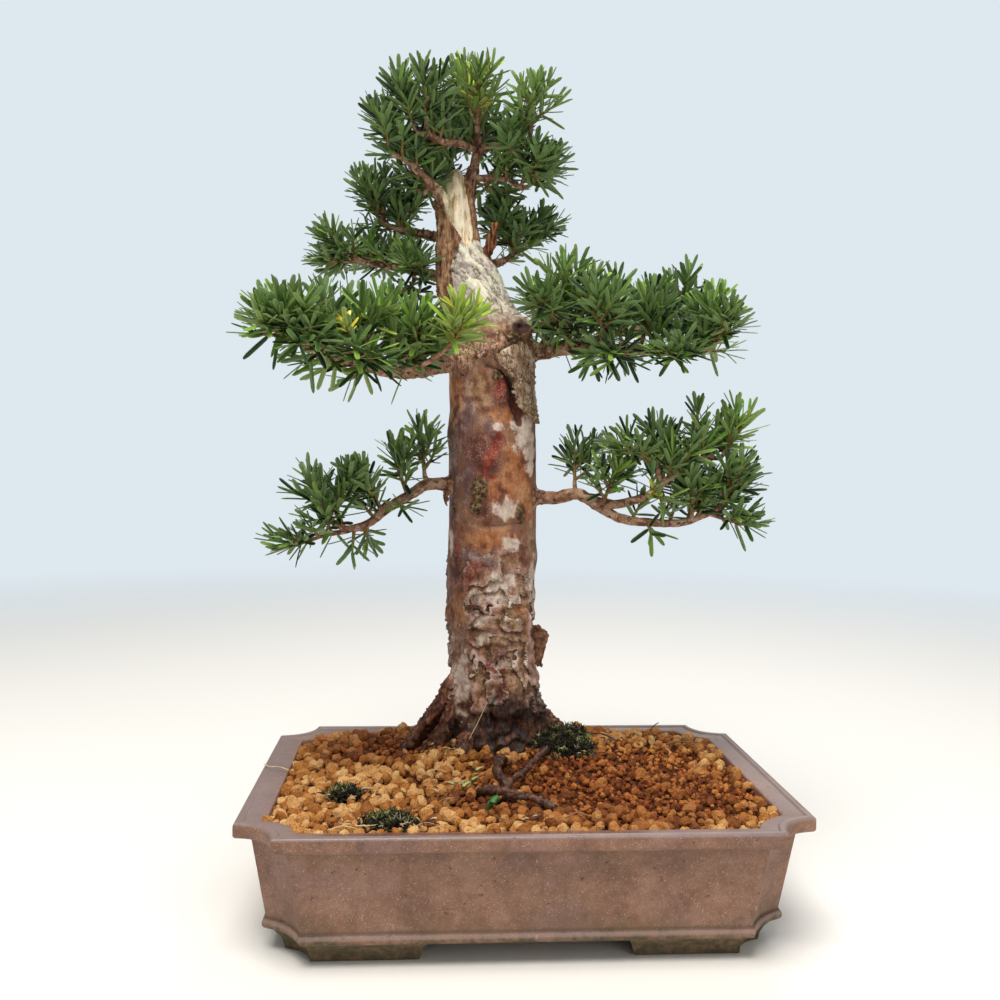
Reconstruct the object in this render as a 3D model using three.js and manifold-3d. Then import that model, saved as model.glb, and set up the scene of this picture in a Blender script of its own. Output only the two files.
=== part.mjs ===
// A Japanese yew grown as a bonsai in an unglazed stoneware pot, in millimetres, +Z up.
// The origin is the centre of the pot's footprint, on the surface that the feet stand on,
// and -Y is the side that the tree is looked at from.
import * as THREE from "three";
import { mergeVertices } from "three/addons/utils/BufferGeometryUtils.js";
import Module from "manifold-3d";

const wasm = await Module();
wasm.setup();

// Driving dimensions of the pot
const RIM_HALF_X = 165;
const RIM_HALF_Y = 112.5;
const POT_HEIGHT = 80;
const RIM_HEIGHT = 9;
const RIM_OVERHANG = 8.7;
const BODY_TAPER = 7.4;
const CORNER_SCOOP = 24.5; // how far the scooped corner cuts into each side of the rim
const FOOT_HEIGHT = 13.5;
const FOOT_INSET = 10;
const FOOT_GAP_HALF_X = 61;
const FOOT_GAP_HALF_Y = 38;
const FLOOR_THICKNESS = 8;
const MOUTH_HALF_X = 148;
const MOUTH_HALF_Y = 100;
const DRAIN_RADIUS = 13;
const DRAIN_X = 72;
const SCREEN_SIDE = 36;
const SCREEN_THICKNESS = 1.2;

// Driving dimensions of the soil and the tree
const CLEARANCE = 0.3;
const SOIL_LEVEL = 78;
const SOIL_MOUND = 13;
const GRAIN = 18;
const TRUNK_Y = 50;
const TRUNK_FOOT_Z = 58;
const NEEDLE_LENGTH = 20;
const NEEDLE_WIDTH = 3;
const NEEDLE_THICKNESS = 1.2;
const LEADER_NEEDLES = 7;
const SIDE_NEEDLES = 5;
const STEM_RADIUS = 1.5;

const vec = (x, y, z) => new THREE.Vector3(x, y, z);

// A seeded random number from 0 to 1 (the mulberry32 generator)
function seededRandom(seed) {
  let state = seed;
  return () => {
    state = (state + 0x6d2b79f5) | 0;
    let t = Math.imul(state ^ (state >>> 15), 1 | state);
    t = (t + Math.imul(t ^ (t >>> 7), 61 | t)) ^ t;
    return ((t ^ (t >>> 14)) >>> 0) / 4294967296;
  };
}

// Closed geometry to solid, and back
function solidOf(geometry) {
  const bare = geometry.clone();
  bare.deleteAttribute("normal");
  bare.deleteAttribute("uv");
  const merged = mergeVertices(bare, 1e-4);
  return new wasm.Manifold(
    new wasm.Mesh({
      numProp: 3,
      vertProperties: new Float32Array(merged.attributes.position.array),
      triVerts: new Uint32Array(merged.index.array),
    }),
  );
}

function geometryOf(solid) {
  const mesh = solid.getMesh();
  const position = new Float32Array(mesh.numVert * 3);
  for (let i = 0; i < mesh.numVert; i++) {
    position.set(mesh.vertProperties.subarray(i * mesh.numProp, i * mesh.numProp + 3), i * 3);
  }
  const geometry = new THREE.BufferGeometry();
  geometry.setAttribute("position", new THREE.BufferAttribute(position, 3));
  geometry.setIndex(new THREE.BufferAttribute(new Uint32Array(mesh.triVerts), 1));
  const flat = geometry.toNonIndexed();
  flat.computeVertexNormals();
  return flat;
}

const joined = (solids) => solids.reduce((sum, next) => sum.add(next));

// The same solid without the needless edges that joining and cutting leave behind
const tidied = (solid) => solid.asOriginal().simplify(0.03);

// The largest body of a solid, so that scraps left by a cut are dropped
function mainBody(solid) {
  const bodies = solid.decompose();
  return bodies.reduce((best, next) => (next.volume() > best.volume() ? next : best));
}

// A closed skin over rings that all have the same number of points
function loft(rings) {
  const count = rings[0].length;
  const points = rings.flat();
  const faces = [];
  for (let r = 0; r + 1 < rings.length; r++) {
    for (let i = 0; i < count; i++) {
      const a = r * count + i;
      const b = r * count + ((i + 1) % count);
      faces.push(a, b, b + count, a, b + count, a + count);
    }
  }
  for (const [ring, start] of [
    [rings[0], 0],
    [rings[rings.length - 1], (rings.length - 1) * count],
  ]) {
    const centre = ring.reduce((sum, p) => sum.add(p), vec(0, 0, 0)).divideScalar(count);
    points.push(centre);
    const c = points.length - 1;
    for (let i = 0; i < count; i++) {
      const a = start + i;
      const b = start + ((i + 1) % count);
      faces.push(...(start === 0 ? [c, b, a] : [c, a, b]));
    }
  }
  const geometry = new THREE.BufferGeometry().setFromPoints(points);
  geometry.setIndex(faces);
  return geometry;
}

// A tapering tube of the given number of sides along a smooth curve through the points
function tube(points, startRadius, endRadius, sides, steps) {
  const curve = new THREE.CatmullRomCurve3(points, false, "centripetal");
  const frames = curve.computeFrenetFrames(steps, false);
  const rings = [];
  for (let s = 0; s <= steps; s++) {
    const at = curve.getPointAt(s / steps);
    const radius = startRadius + (endRadius - startRadius) * (s / steps);
    const ring = [];
    for (let i = 0; i < sides; i++) {
      const turn = (i / sides) * 2 * Math.PI;
      ring.push(
        at
          .clone()
          .addScaledVector(frames.normals[s], radius * Math.cos(turn))
          .addScaledVector(frames.binormals[s], radius * Math.sin(turn)),
      );
    }
    rings.push(ring);
  }
  return solidOf(loft(rings));
}

function box(sizeX, sizeY, sizeZ, x, y, z) {
  return solidOf(new THREE.BoxGeometry(sizeX, sizeY, sizeZ).translate(x, y, z));
}

// The pot's plan: a rectangle whose corners are scooped out by an arc
function potOutline(halfX, halfY, cut, depth, z) {
  const arcSteps = 3;
  const outline = [];
  for (const [sx, sy, reverse] of [
    [1, -1, false],
    [1, 1, true],
    [-1, 1, false],
    [-1, -1, true],
  ]) {
    const corner = [];
    for (let i = 0; i <= arcSteps; i++) {
      const along = i / arcSteps;
      const sag = depth * 4 * along * (1 - along) * Math.SQRT1_2;
      const x = halfX - cut * (1 - along) - sag;
      const y = halfY - cut * along - sag;
      corner.push(vec(sx * x, sy * y, z));
    }
    outline.push(...(reverse ? corner.reverse() : corner));
  }
  return outline;
}

function makePot() {
  const bodyTop = POT_HEIGHT - RIM_HEIGHT;
  const bodyX = RIM_HALF_X - RIM_OVERHANG;
  const bodyY = RIM_HALF_Y - RIM_OVERHANG;
  const baseX = bodyX - BODY_TAPER;
  const baseY = bodyY - BODY_TAPER;
  const bodyScoop = 3.5;
  const rimScoop = 7;
  const bead = 2.4;
  const floorTop = FOOT_HEIGHT + FLOOR_THICKNESS;
  const wall = 8;
  const lipWidth = 4;
  const lipHeight = 1;
  // Each row: height, half length, half width, corner cut, depth of the scoop
  const outside = [
    [FOOT_HEIGHT, baseX - 1, baseY - 1, CORNER_SCOOP - 2.5, bodyScoop],
    [FOOT_HEIGHT + 1, baseX + bead * 0.7, baseY + bead * 0.7, CORNER_SCOOP - 1.5, bodyScoop],
    [FOOT_HEIGHT + 3.4, baseX + bead, baseY + bead, CORNER_SCOOP - 1.5, bodyScoop],
    [FOOT_HEIGHT + 5.8, baseX + bead * 0.7, baseY + bead * 0.7, CORNER_SCOOP - 1.5, bodyScoop],
    [FOOT_HEIGHT + 6.8, baseX, baseY, CORNER_SCOOP - 2, bodyScoop],
    [bodyTop, bodyX, bodyY, CORNER_SCOOP - 1.5, bodyScoop + 1],
    [bodyTop, RIM_HALF_X - 1.2, RIM_HALF_Y - 1.2, CORNER_SCOOP, rimScoop],
    [bodyTop + 1.5, RIM_HALF_X, RIM_HALF_Y, CORNER_SCOOP, rimScoop],
    [POT_HEIGHT - 1.5, RIM_HALF_X, RIM_HALF_Y, CORNER_SCOOP, rimScoop],
    [POT_HEIGHT, RIM_HALF_X - 1.5, RIM_HALF_Y - 1.5, CORNER_SCOOP, rimScoop],
    [POT_HEIGHT, RIM_HALF_X - lipWidth, RIM_HALF_Y - lipWidth, CORNER_SCOOP - 1, rimScoop],
  ];
  const inside = [
    [floorTop, baseX - wall, baseY - wall, CORNER_SCOOP - 4, bodyScoop],
    [bodyTop - 6, MOUTH_HALF_X, MOUTH_HALF_Y - 3, CORNER_SCOOP - 4, bodyScoop],
    [POT_HEIGHT - lipHeight, MOUTH_HALF_X, MOUTH_HALF_Y, CORNER_SCOOP - 4, bodyScoop],
    [POT_HEIGHT + 0.2, RIM_HALF_X - lipWidth - 1.5, RIM_HALF_Y - lipWidth - 1.5, CORNER_SCOOP - 2, rimScoop],
  ];
  const ringsOf = (rows) => rows.map(([z, x, y, cut, depth]) => potOutline(x, y, cut, depth, z));
  let pot = solidOf(loft(ringsOf(outside))).subtract(solidOf(loft(ringsOf(inside))));

  const footTopX = baseX - 3;
  const footTopY = baseY - 3;
  const footX = baseX - FOOT_INSET;
  const footY = baseY - FOOT_INSET;
  const footWall = 13;
  const footRows = [
    [0, footX - 0.8, footY - 0.8, CORNER_SCOOP - 8, bodyScoop],
    [1, footX, footY, CORNER_SCOOP - 8, bodyScoop],
    [6, footX + 1.5, footY + 1.5, CORNER_SCOOP - 7, bodyScoop],
    [FOOT_HEIGHT + 1, footTopX, footTopY, CORNER_SCOOP - 5, bodyScoop],
  ];
  const footHollow = [
    [-1, footX - footWall, footY - footWall, CORNER_SCOOP - 8, 0],
    [FOOT_HEIGHT, footX - footWall, footY - footWall, CORNER_SCOOP - 8, 0],
  ];
  let feet = solidOf(loft(ringsOf(footRows))).subtract(solidOf(loft(ringsOf(footHollow))));
  for (const [half, turn] of [
    [FOOT_GAP_HALF_X, 0],
    [FOOT_GAP_HALF_Y, Math.PI / 2],
  ]) {
    const gap = new THREE.Shape();
    gap.moveTo(-half, -1);
    gap.lineTo(half, -1);
    gap.lineTo(half - 2, 7);
    gap.lineTo(half - 6, FOOT_HEIGHT);
    gap.lineTo(6 - half, FOOT_HEIGHT);
    gap.lineTo(2 - half, 7);
    const reach = 2 * RIM_HALF_X;
    const cutter = new THREE.ExtrudeGeometry(gap, { depth: 2 * reach, bevelEnabled: false });
    cutter.translate(0, 0, -reach).rotateX(Math.PI / 2).rotateZ(turn);
    feet = feet.subtract(solidOf(cutter));
  }
  pot = pot.add(feet);
  for (const side of [-1, 1]) {
    const drain = new THREE.CylinderGeometry(DRAIN_RADIUS, DRAIN_RADIUS, 30, 16);
    drain.rotateX(Math.PI / 2).translate(side * DRAIN_X, 0, FOOT_HEIGHT);
    pot = pot.subtract(solidOf(drain));
  }
  return tidied(pot);
}

// A square of plastic netting that keeps the soil from falling through a drain hole
function makeScreen(side) {
  const cells = 3;
  const bar = 3;
  const pitch = (SCREEN_SIDE - bar) / cells;
  const z = FOOT_HEIGHT + FLOOR_THICKNESS + CLEARANCE + SCREEN_THICKNESS / 2;
  const bars = [];
  for (let i = 0; i <= cells; i++) {
    const offset = (i - cells / 2) * pitch;
    bars.push(box(bar, SCREEN_SIDE, SCREEN_THICKNESS, side * DRAIN_X + offset, 0, z));
    bars.push(box(SCREEN_SIDE, bar, SCREEN_THICKNESS, side * DRAIN_X, offset, z));
  }
  return tidied(joined(bars));
}

// The trunk's cross sections, from its foot in the soil to the broken tip of bare wood:
// height, centre in x, half width in x, half width in y
const TRUNK_SECTIONS = [
  [TRUNK_FOOT_Z, -11, 30, 27],
  [74, -10, 36, 32],
  [88, -9, 34, 32],
  [103, -9, 30.5, 30],
  [125, -11, 30.5, 30],
  [150, -14, 30, 29],
  [185, -15.5, 30, 29],
  [255, -16, 29.5, 29],
  [323, -16, 29.5, 29],
  [351, -17, 30, 29],
  [373, -19, 29, 27],
  [386, -26, 25.5, 23],
  [398, -30.5, 23, 20],
  [412, -34, 20, 17.5],
  [421, -37.5, 15.5, 15],
  [430, -40, 12.3, 13],
  [447, -43.7, 11.6, 11],
  [463, -45.3, 10.2, 9],
  [478, -43, 5.2, 4.5],
];

// Bark relief as a push outwards, by turn round the trunk and height
function barkRelief(turn, z) {
  const broad = Math.sin(3 * turn + z / 31) + 0.8 * Math.sin(2 * turn - z / 47 + 1);
  const plates = Math.sin(5 * turn + 2.2 * Math.sin(z / 13)) * Math.sin(z / 7.5 + 2 * turn);
  const rootFlutes = Math.max(0, 1 - (z - 80) / 60) * 1.6 * Math.sin(4 * turn + 0.6);
  return 0.8 * broad + 0.9 * plates + (z < 80 ? 0 : rootFlutes);
}

function makeTrunkBody(extra) {
  const sides = 17;
  const ringStep = 16;
  const line = new THREE.CatmullRomCurve3(
    TRUNK_SECTIONS.map(([z, x]) => vec(x, 0, z)), false, "centripetal");
  const widths = new THREE.CatmullRomCurve3(
    TRUNK_SECTIONS.map(([z, , hx, hy]) => vec(hx, hy, z)), false, "centripetal");
  const top = TRUNK_SECTIONS[TRUNK_SECTIONS.length - 1][0];
  const steps = Math.round((top - TRUNK_FOOT_Z) / ringStep);
  const rings = [];
  for (let s = 0; s <= steps; s++) {
    const centre = line.getPoint(s / steps);
    const half = widths.getPoint(s / steps);
    const ring = [];
    for (let i = 0; i < sides; i++) {
      const turn = (i / sides) * 2 * Math.PI;
      const slim = Math.min(1, half.x / 25);
      const push = extra + slim * barkRelief(turn, centre.z);
      const x = centre.x + (half.x + push) * Math.cos(turn);
      const y = TRUNK_Y + (half.y + push) * Math.sin(turn);
      ring.push(vec(x, y, centre.z + (s === 0 ? -extra : 0)));
    }
    rings.push(ring);
  }
  return solidOf(loft(rings));
}

// Roots that leave the trunk's foot: points, start and end radius
const ROOTS = [
  [[[-28, 48, 136], [-42, 46, 122], [-52, 46, 109], [-61, 49, 96], [-72, 50, 85], [-82, 47, 72]], 8.5, 5],
  [[[-32, 42, 122], [-42, 40, 106], [-50, 38, 92], [-58, 33, 76]], 6, 4],
  [[[6, 46, 116], [18, 44, 106], [29, 42, 97], [40, 40, 88], [52, 38, 76]], 8.5, 5],
  [[[-20, 60, 120], [-26, 74, 104], [-34, 82, 90], [-42, 85, 74]], 8.5, 5],
  [[[2, 62, 114], [12, 74, 98], [24, 82, 84], [30, 84, 72]], 8, 5],
];

// Bare surface roots that surface in front of the trunk and dive again
const SURFACE_ROOTS = [
  [[[12, 30, 86], [20, 14, 92], [12, -8, 91], [2, -26, 89], [-8, -42, 87], [-14, -52, 78]], 3.4, 2.6],
  [[[-6, 26, 82], [-8, 6, 88], [-12, -10, 91], [-15, -26, 90], [-11, -42, 87], [-8, -52, 79]], 3.4, 3],
  [[[-24, -34, 74], [-26, -45, 83], [-19, -53, 86.5], [-4, -60, 86], [10, -67, 84.5], [22, -73, 77]], 3.6, 2.4],
];

// Limbs and twigs that carry the foliage: points, start and end radius
const LIMBS = {
  left_upper: [
    [[-28, 48, 348], [-43, 28, 347], [-70, -6, 337], [-90, -34, 336], [-110, -52, 340], [-128, -64, 345],
      [-142, -68, 352]], 6.5, 2],
  right_upper: [
    [[-4, 50, 355], [13, 44, 356], [41, 24, 357], [85, 8, 355], [112, 2, 354], [122, -4, 356]], 6.5, 2],
  right_shoulder: [[[-6, 50, 372], [10, 42, 374], [17, 26, 372], [22, 10, 374]], 3.4, 1.8],
  right_back: [[[14, 44, 357], [44, 44, 364], [72, 52, 372], [100, 56, 376], [118, 54, 378]], 3.8, 1.8],
  left_lower: [
    [[-34, 50, 265], [-47, 44, 265], [-60, 36, 265], [-72, 26, 258], [-87, 15, 249], [-98, 7, 240],
      [-111, 0, 237], [-122, -2, 243]], 4.8, 1.8],
  left_lower_tip: [[[-100, 5, 239], [-114, 0, 235], [-123, -3, 234]], 1.9, 1.5],
  right_lower: [
    [[0, 50, 257], [15, 43, 257], [26, 33, 257], [40, 22, 260], [52, 12, 253], [66, 5, 245], [84, 0, 243],
      [105, 0, 243], [124, 4, 249]], 5.2, 2],
  right_lower_fork: [
    [[48, 15, 256], [61, 7, 254], [73, 1, 257], [82, -5, 261], [92, -8, 270], [104, -8, 278],
      [120, -5, 286]], 3.4, 1.7],
  right_lower_riser: [[[96, -8, 272], [101, -8, 281], [110, -6, 293], [117, -3, 301]], 2, 1.6],
  right_lower_twig: [[[84, -6, 262], [88, -7, 271], [86, -8, 282]], 1.9, 1.5],
  apex_left: [[[-46, 46, 446], [-55, 36, 459], [-70, 27, 472], [-80, 23, 479]], 3.4, 2],
  apex_leader: [[[-38, 54, 450], [-33, 54, 474], [-29, 50, 494], [-30, 42, 507]], 4.4, 2.4],
  apex_cross_left: [[[-28, 50, 492], [-40, 37, 492], [-52, 26, 490], [-62, 20, 492]], 2.6, 1.8],
  apex_cross_right: [[[-29, 50, 492], [-18, 38, 492], [-6, 28, 486], [2, 24, 490]], 2.8, 1.8],
  apex_low_right: [[[-33, 54, 474], [-20, 48, 474], [-8, 38, 470]], 2.4, 1.6],
  apex_back: [[[-30, 48, 496], [-32, 66, 503], [-34, 80, 508]], 2.8, 1.8],
  back_left_high: [[[-46, 52, 432], [-66, 58, 437], [-82, 61, 440], [-94, 60, 444]], 3, 1.7],
  back_left_low: [[[-42, 54, 402], [-64, 61, 411], [-86, 62, 414], [-108, 55, 417]], 3.4, 1.8],
  back_right: [[[-28, 56, 416], [-12, 70, 421], [-3, 77, 427], [2, 80, 433]], 2.8, 1.6],
};

// Leafy sprays: limb that carries it, then the middle of its needles in x, y and z
const SPRAYS = {
  crown_front: ["apex_leader", -29, 20, 526],
  crown_top: ["apex_leader", -38, 48, 540],
  crown_left: ["apex_cross_left", -66, 8, 520],
  crown_far_left: ["apex_left", -90, 26, 500],
  crown_right: ["apex_cross_right", 6, 18, 518],
  crown_low_right: ["apex_low_right", 16, 24, 480],
  crown_low_left: ["apex_left", -82, 44, 484],
  crown_back: ["apex_back", -34, 86, 524],
  crown_back_left: ["apex_back", -62, 66, 517],
  crown_back_right: ["apex_back", -4, 68, 510],
  left_high: ["back_left_high", -106, 56, 456],
  left_high_inner: ["back_left_high", -80, 72, 452],
  left_mid_far: ["back_left_low", -128, 48, 425],
  left_mid: ["back_left_low", -96, 74, 428],
  left_mid_inner: ["back_left_low", -72, 46, 410],
  left_tip: ["left_upper", -152, -68, 368],
  left_front_low: ["left_upper", -130, -84, 352],
  left_ridge: ["left_upper", -121, -40, 377],
  left_hanging: ["left_upper", -92, -78, 338],
  left_crest: ["left_upper", -90, -52, 368],
  left_inner: ["left_upper", -62, -48, 362],
  left_over_trunk: ["left_upper", -36, -58, 362],
  left_under: ["left_upper", -64, -32, 340],
  left_behind: ["left_upper", -88, -6, 372],
  right_crest: ["right_shoulder", 26, 0, 402],
  right_inner: ["right_shoulder", 12, -12, 375],
  right_front: ["right_upper", 44, -20, 382],
  right_middle: ["right_upper", 84, 16, 389],
  right_tip: ["right_upper", 118, 0, 386],
  right_tip_low: ["right_upper", 132, -14, 364],
  right_hanging: ["right_upper", 54, -16, 348],
  right_hanging_tip: ["right_upper", 94, -18, 350],
  right_back_inner: ["right_back", 66, 60, 396],
  right_back_tip: ["right_back", 124, 54, 392],
  left_lower_inner: ["left_lower", -66, 32, 296],
  left_lower_middle: ["left_lower", -86, 20, 281],
  left_lower_outer: ["left_lower", -106, 10, 268],
  left_lower_end: ["left_lower", -128, 0, 258],
  left_lower_droop: ["left_lower_tip", -144, -8, 234],
  right_lower_inner: ["right_lower", 39, 36, 290],
  right_lower_middle: ["right_lower_twig", 76, -6, 298],
  right_lower_low: ["right_lower", 62, 0, 272],
  right_lower_peak: ["right_lower_riser", 122, 0, 316],
  right_lower_high: ["right_lower_fork", 144, -4, 306],
  right_lower_outer: ["right_lower", 139, -12, 279],
  right_lower_end: ["right_lower", 147, 10, 260],
  right_lower_front: ["right_lower", 108, -12, 262],
  jin_side: ["back_right", 8, 82, 446],
};

const TUBE_SIDES = 5;
const TWIG_SIDES = 3;
const ROOT_SIDES = 5;

const vectors = (points) => points.map(([x, y, z]) => vec(x, y, z));

// Where a spray's stem starts and which way it points, from its limb and its middle
function sprayAxis(name) {
  const [limb, x, y, z] = SPRAYS[name];
  const middle = vec(x, y, z);
  const curve = new THREE.CatmullRomCurve3(vectors(LIMBS[limb][0]), false, "centripetal");
  let from = curve.getPoint(1);
  let shareAlong = 1;
  for (let s = 20; s <= 100; s += 4) {
    const at = curve.getPoint(s / 100);
    if (at.distanceTo(middle) < from.distanceTo(middle)) {
      from = at;
      shareAlong = s / 100;
    }
  }
  const [, startRadius, endRadius] = LIMBS[limb];
  const limbRadius = startRadius + (endRadius - startRadius) * shareAlong;
  const stemLength = 25;
  const outward = middle.clone().sub(from).normalize();
  const lift = vec(0, 0, name.includes("hanging") || name.includes("droop") ? -0.15 : 0.35);
  const direction = outward.clone().add(lift).normalize();
  const base = middle.clone().addScaledVector(direction, -0.88 * stemLength);
  const shortest = limbRadius + STEM_RADIUS + 2;
  const ahead = base.clone().sub(from).dot(direction);
  if (ahead < shortest) base.copy(from).addScaledVector(direction, shortest);
  return { from, base, direction, stemLength, limbRadius };
}

// The twig that joins a limb to the foot of a spray
function twigOf(name) {
  const axis = sprayAxis(name);
  const bend = axis.base.clone().addScaledVector(axis.direction, -4);
  const span = axis.from.distanceTo(axis.base);
  const elbow = axis.from.clone().lerp(bend, 0.5).add(vec(0, 0, -0.08 * span));
  const points = span < 12 ? [axis.from, bend, axis.base] : [axis.from, elbow, bend, axis.base];
  const start = Math.min(STEM_RADIUS + 0.5, axis.limbRadius);
  return [points, start, STEM_RADIUS, TWIG_SIDES, span > 20 ? 2 : 1];
}

// A thin curling plate of bark: middle line points, width, thickness and the side that it faces
function barkPlate(points, width, thickness, facing) {
  const curve = new THREE.CatmullRomCurve3(vectors(points));
  const steps = 5;
  const out = vec(...facing).normalize();
  const rings = [];
  for (let s = 0; s <= steps; s++) {
    const at = curve.getPoint(s / steps);
    const along = curve.getTangent(s / steps);
    const side = along.clone().cross(out).normalize();
    const taper = 0.35 + 0.65 * Math.sin(Math.PI * Math.min(0.85, 0.15 + s / steps));
    const half = (width / 2) * taper;
    rings.push([
      at.clone().addScaledVector(side, -half),
      at.clone().addScaledVector(out, -thickness),
      at.clone().addScaledVector(side, half),
      at.clone().addScaledVector(out, thickness * 0.6),
    ]);
  }
  const solid = solidOf(loft(rings));
  return solid.volume() < 0 ? solidOf(loft(rings.map((ring) => ring.reverse()))) : solid;
}

// Everything woody in one piece: trunk, roots, bark plates, dead stub, limbs and twigs
function makeWood(extra) {
  const parts = [makeTrunkBody(extra)];
  for (const [points, start, end] of [...ROOTS, ...SURFACE_ROOTS]) {
    parts.push(tube(vectors(points), start + extra, end + extra, ROOT_SIDES, points.length));
  }
  if (extra > 0) return joined(parts);
  parts.push(tube(vectors([[-32, 52, 406], [-24, 50, 420], [-17, 46, 442]]), 4.5, 2.6, TUBE_SIDES, 3));
  parts.push(barkPlate([[-6, 24, 370], [-3, 20, 352], [1, 20, 330], [4, 22, 310]], 15, 2.6, [0.4, -1, 0]));
  parts.push(barkPlate([[12, 40, 170], [18, 38, 162], [23, 36, 152], [20, 35, 142]], 12, 2, [1, -0.4, 0]));
  parts.push(barkPlate([[-24, 26, 276], [-22, 20, 266], [-22, 20, 256], [-20, 26, 246]], 13, 2.5, [0, -1, 0]));
  for (const [points, start, end] of Object.values(LIMBS)) {
    parts.push(tube(vectors(points), start, end, TUBE_SIDES, points.length));
  }
  for (const name of Object.keys(SPRAYS)) parts.push(tube(...twigOf(name)));
  return tidied(mainBody(joined(parts)));
}

// Soil surface without its grains: level at the rim and mounded round the trunk
function soilHeight(x, y) {
  const fromTrunk = ((x + 10) / 85) ** 2 + ((y - TRUNK_Y) / 75) ** 2;
  return SOIL_LEVEL + SOIL_MOUND * Math.exp(-fromTrunk) - 1.5 * (x / MOUTH_HALF_X) ** 2;
}

// The bed of baked clay grains, filling the pot, with its surface raised grain by grain
function makeSoil(keepOut) {
  const random = seededRandom(7);
  const floorTop = FOOT_HEIGHT + FLOOR_THICKNESS + CLEARANCE;
  const countX = Math.ceil((2 * MOUTH_HALF_X) / GRAIN) + 2;
  const countY = Math.ceil((2 * MOUTH_HALF_Y) / GRAIN) + 2;
  const corner = (i, j) => (j * (countX + 1) + i);
  const points = [];
  const edge = (i, j) => i === 0 || j === 0 || i === countX || j === countY;
  for (let j = 0; j <= countY; j++) {
    for (let i = 0; i <= countX; i++) {
      const shift = edge(i, j) ? 0 : 0.55 * GRAIN;
      const x = (i - countX / 2) * GRAIN + shift * (random() - 0.5);
      const y = (j - countY / 2) * GRAIN + shift * (random() - 0.5);
      points.push(vec(x, y, soilHeight(x, y) - 1.6 - 1.6 * random()));
    }
  }
  const faces = [];
  for (let j = 0; j < countY; j++) {
    for (let i = 0; i < countX; i++) {
      const ring = [corner(i, j), corner(i + 1, j), corner(i + 1, j + 1), corner(i, j + 1)];
      const top = ring.reduce((sum, k) => sum.add(points[k]), vec(0, 0, 0)).divideScalar(4);
      top.x += 0.2 * GRAIN * (random() - 0.5);
      top.y += 0.2 * GRAIN * (random() - 0.5);
      top.z = soilHeight(top.x, top.y) + 1.4 + 1.8 * random();
      points.push(top);
      ring.forEach((a, k) => faces.push(a, ring[(k + 1) % 4], points.length - 1));
    }
  }
  const rim = [];
  for (let i = 0; i < countX; i++) rim.push(corner(i, 0));
  for (let j = 0; j < countY; j++) rim.push(corner(countX, j));
  for (let i = countX; i > 0; i--) rim.push(corner(i, countY));
  for (let j = countY; j > 0; j--) rim.push(corner(0, j));
  const firstLow = points.length;
  rim.forEach((k) => points.push(vec(points[k].x, points[k].y, floorTop - 5)));
  points.push(vec(0, 0, floorTop - 5));
  const bottom = points.length - 1;
  rim.forEach((k, n) => {
    const next = (n + 1) % rim.length;
    faces.push(k, firstLow + n, firstLow + next, k, firstLow + next, rim[next]);
    faces.push(firstLow + n, bottom, firstLow + next);
  });
  const slabGeometry = new THREE.BufferGeometry().setFromPoints(points);
  slabGeometry.setIndex(faces);
  const slab = solidOf(slabGeometry);

  const baseX = RIM_HALF_X - RIM_OVERHANG - BODY_TAPER - 8 - CLEARANCE;
  const baseY = RIM_HALF_Y - RIM_OVERHANG - BODY_TAPER - 8 - CLEARANCE;
  const cut = CORNER_SCOOP - 4 + CLEARANCE;
  const mouthX = MOUTH_HALF_X - CLEARANCE;
  const mouthY = MOUTH_HALF_Y - CLEARANCE;
  const cavity = solidOf(
    loft([
      potOutline(baseX, baseY, cut, 3.6, floorTop),
      potOutline(mouthX, mouthY - 3, cut, 3.6, POT_HEIGHT - RIM_HEIGHT - 6),
      potOutline(mouthX, mouthY, cut, 3.6, POT_HEIGHT - 1),
      potOutline(mouthX, mouthY, cut, 3.6, POT_HEIGHT + 40),
    ]),
  );
  let soil = slab.intersect(cavity);
  for (const side of [-1, 1]) {
    const pocket = SCREEN_SIDE + 2 * CLEARANCE;
    const deep = SCREEN_THICKNESS + 2 * CLEARANCE;
    soil = soil.subtract(box(pocket, pocket, 2 * deep, side * DRAIN_X, 0, floorTop));
  }
  for (const solid of keepOut) soil = soil.subtract(solid);
  return tidied(mainBody(soil));
}

// Moss cushions: middle in x, y and z, and half sizes
const MOSS = {
  moss_trunk: [36, 29, 90, 22, 15, 14],
  moss_front_left: [-80, -88, 79, 17, 9, 7],
  moss_left: [-108, -42, 80, 15, 9, 6],
};

function mossCushion(name, extra) {
  const [x, y, z, halfX, halfY, halfZ] = MOSS[name];
  const ball = new THREE.IcosahedronGeometry(1, 1);
  ball.deleteAttribute("normal");
  ball.deleteAttribute("uv");
  const cushion = mergeVertices(ball, 1e-4);
  const position = cushion.attributes.position;
  const random = seededRandom(name.length * 31);
  for (let i = 0; i < position.count; i++) {
    const lump = 1 + 0.28 * (random() - 0.5);
    const px = x + (halfX * lump + extra) * position.getX(i);
    const py = y + (halfY * lump + extra) * position.getY(i);
    const pz = z + (halfZ * lump + extra) * position.getZ(i);
    position.setXYZ(i, px, py, pz);
  }
  return solidOf(cushion);
}

// Whether two straight stretches stay farther apart than the gap, tried at points along the first
function apartBy(a, b, gap) {
  if (a.middle.distanceTo(b.middle) - a.half - b.half > gap) return true;
  const line = new THREE.Line3(b.start, b.end);
  const near = vec(0, 0, 0);
  for (let s = 0; s <= 12; s++) {
    const at = a.start.clone().lerp(a.end, s / 12);
    line.closestPointToPoint(at, true, near);
    if (near.distanceTo(at) <= gap) return false;
  }
  return true;
}

function stretch(start, end, radius, owner) {
  const middle = start.clone().lerp(end, 0.5);
  return { start, end, radius, owner, middle, half: start.distanceTo(end) / 2 };
}

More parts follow.
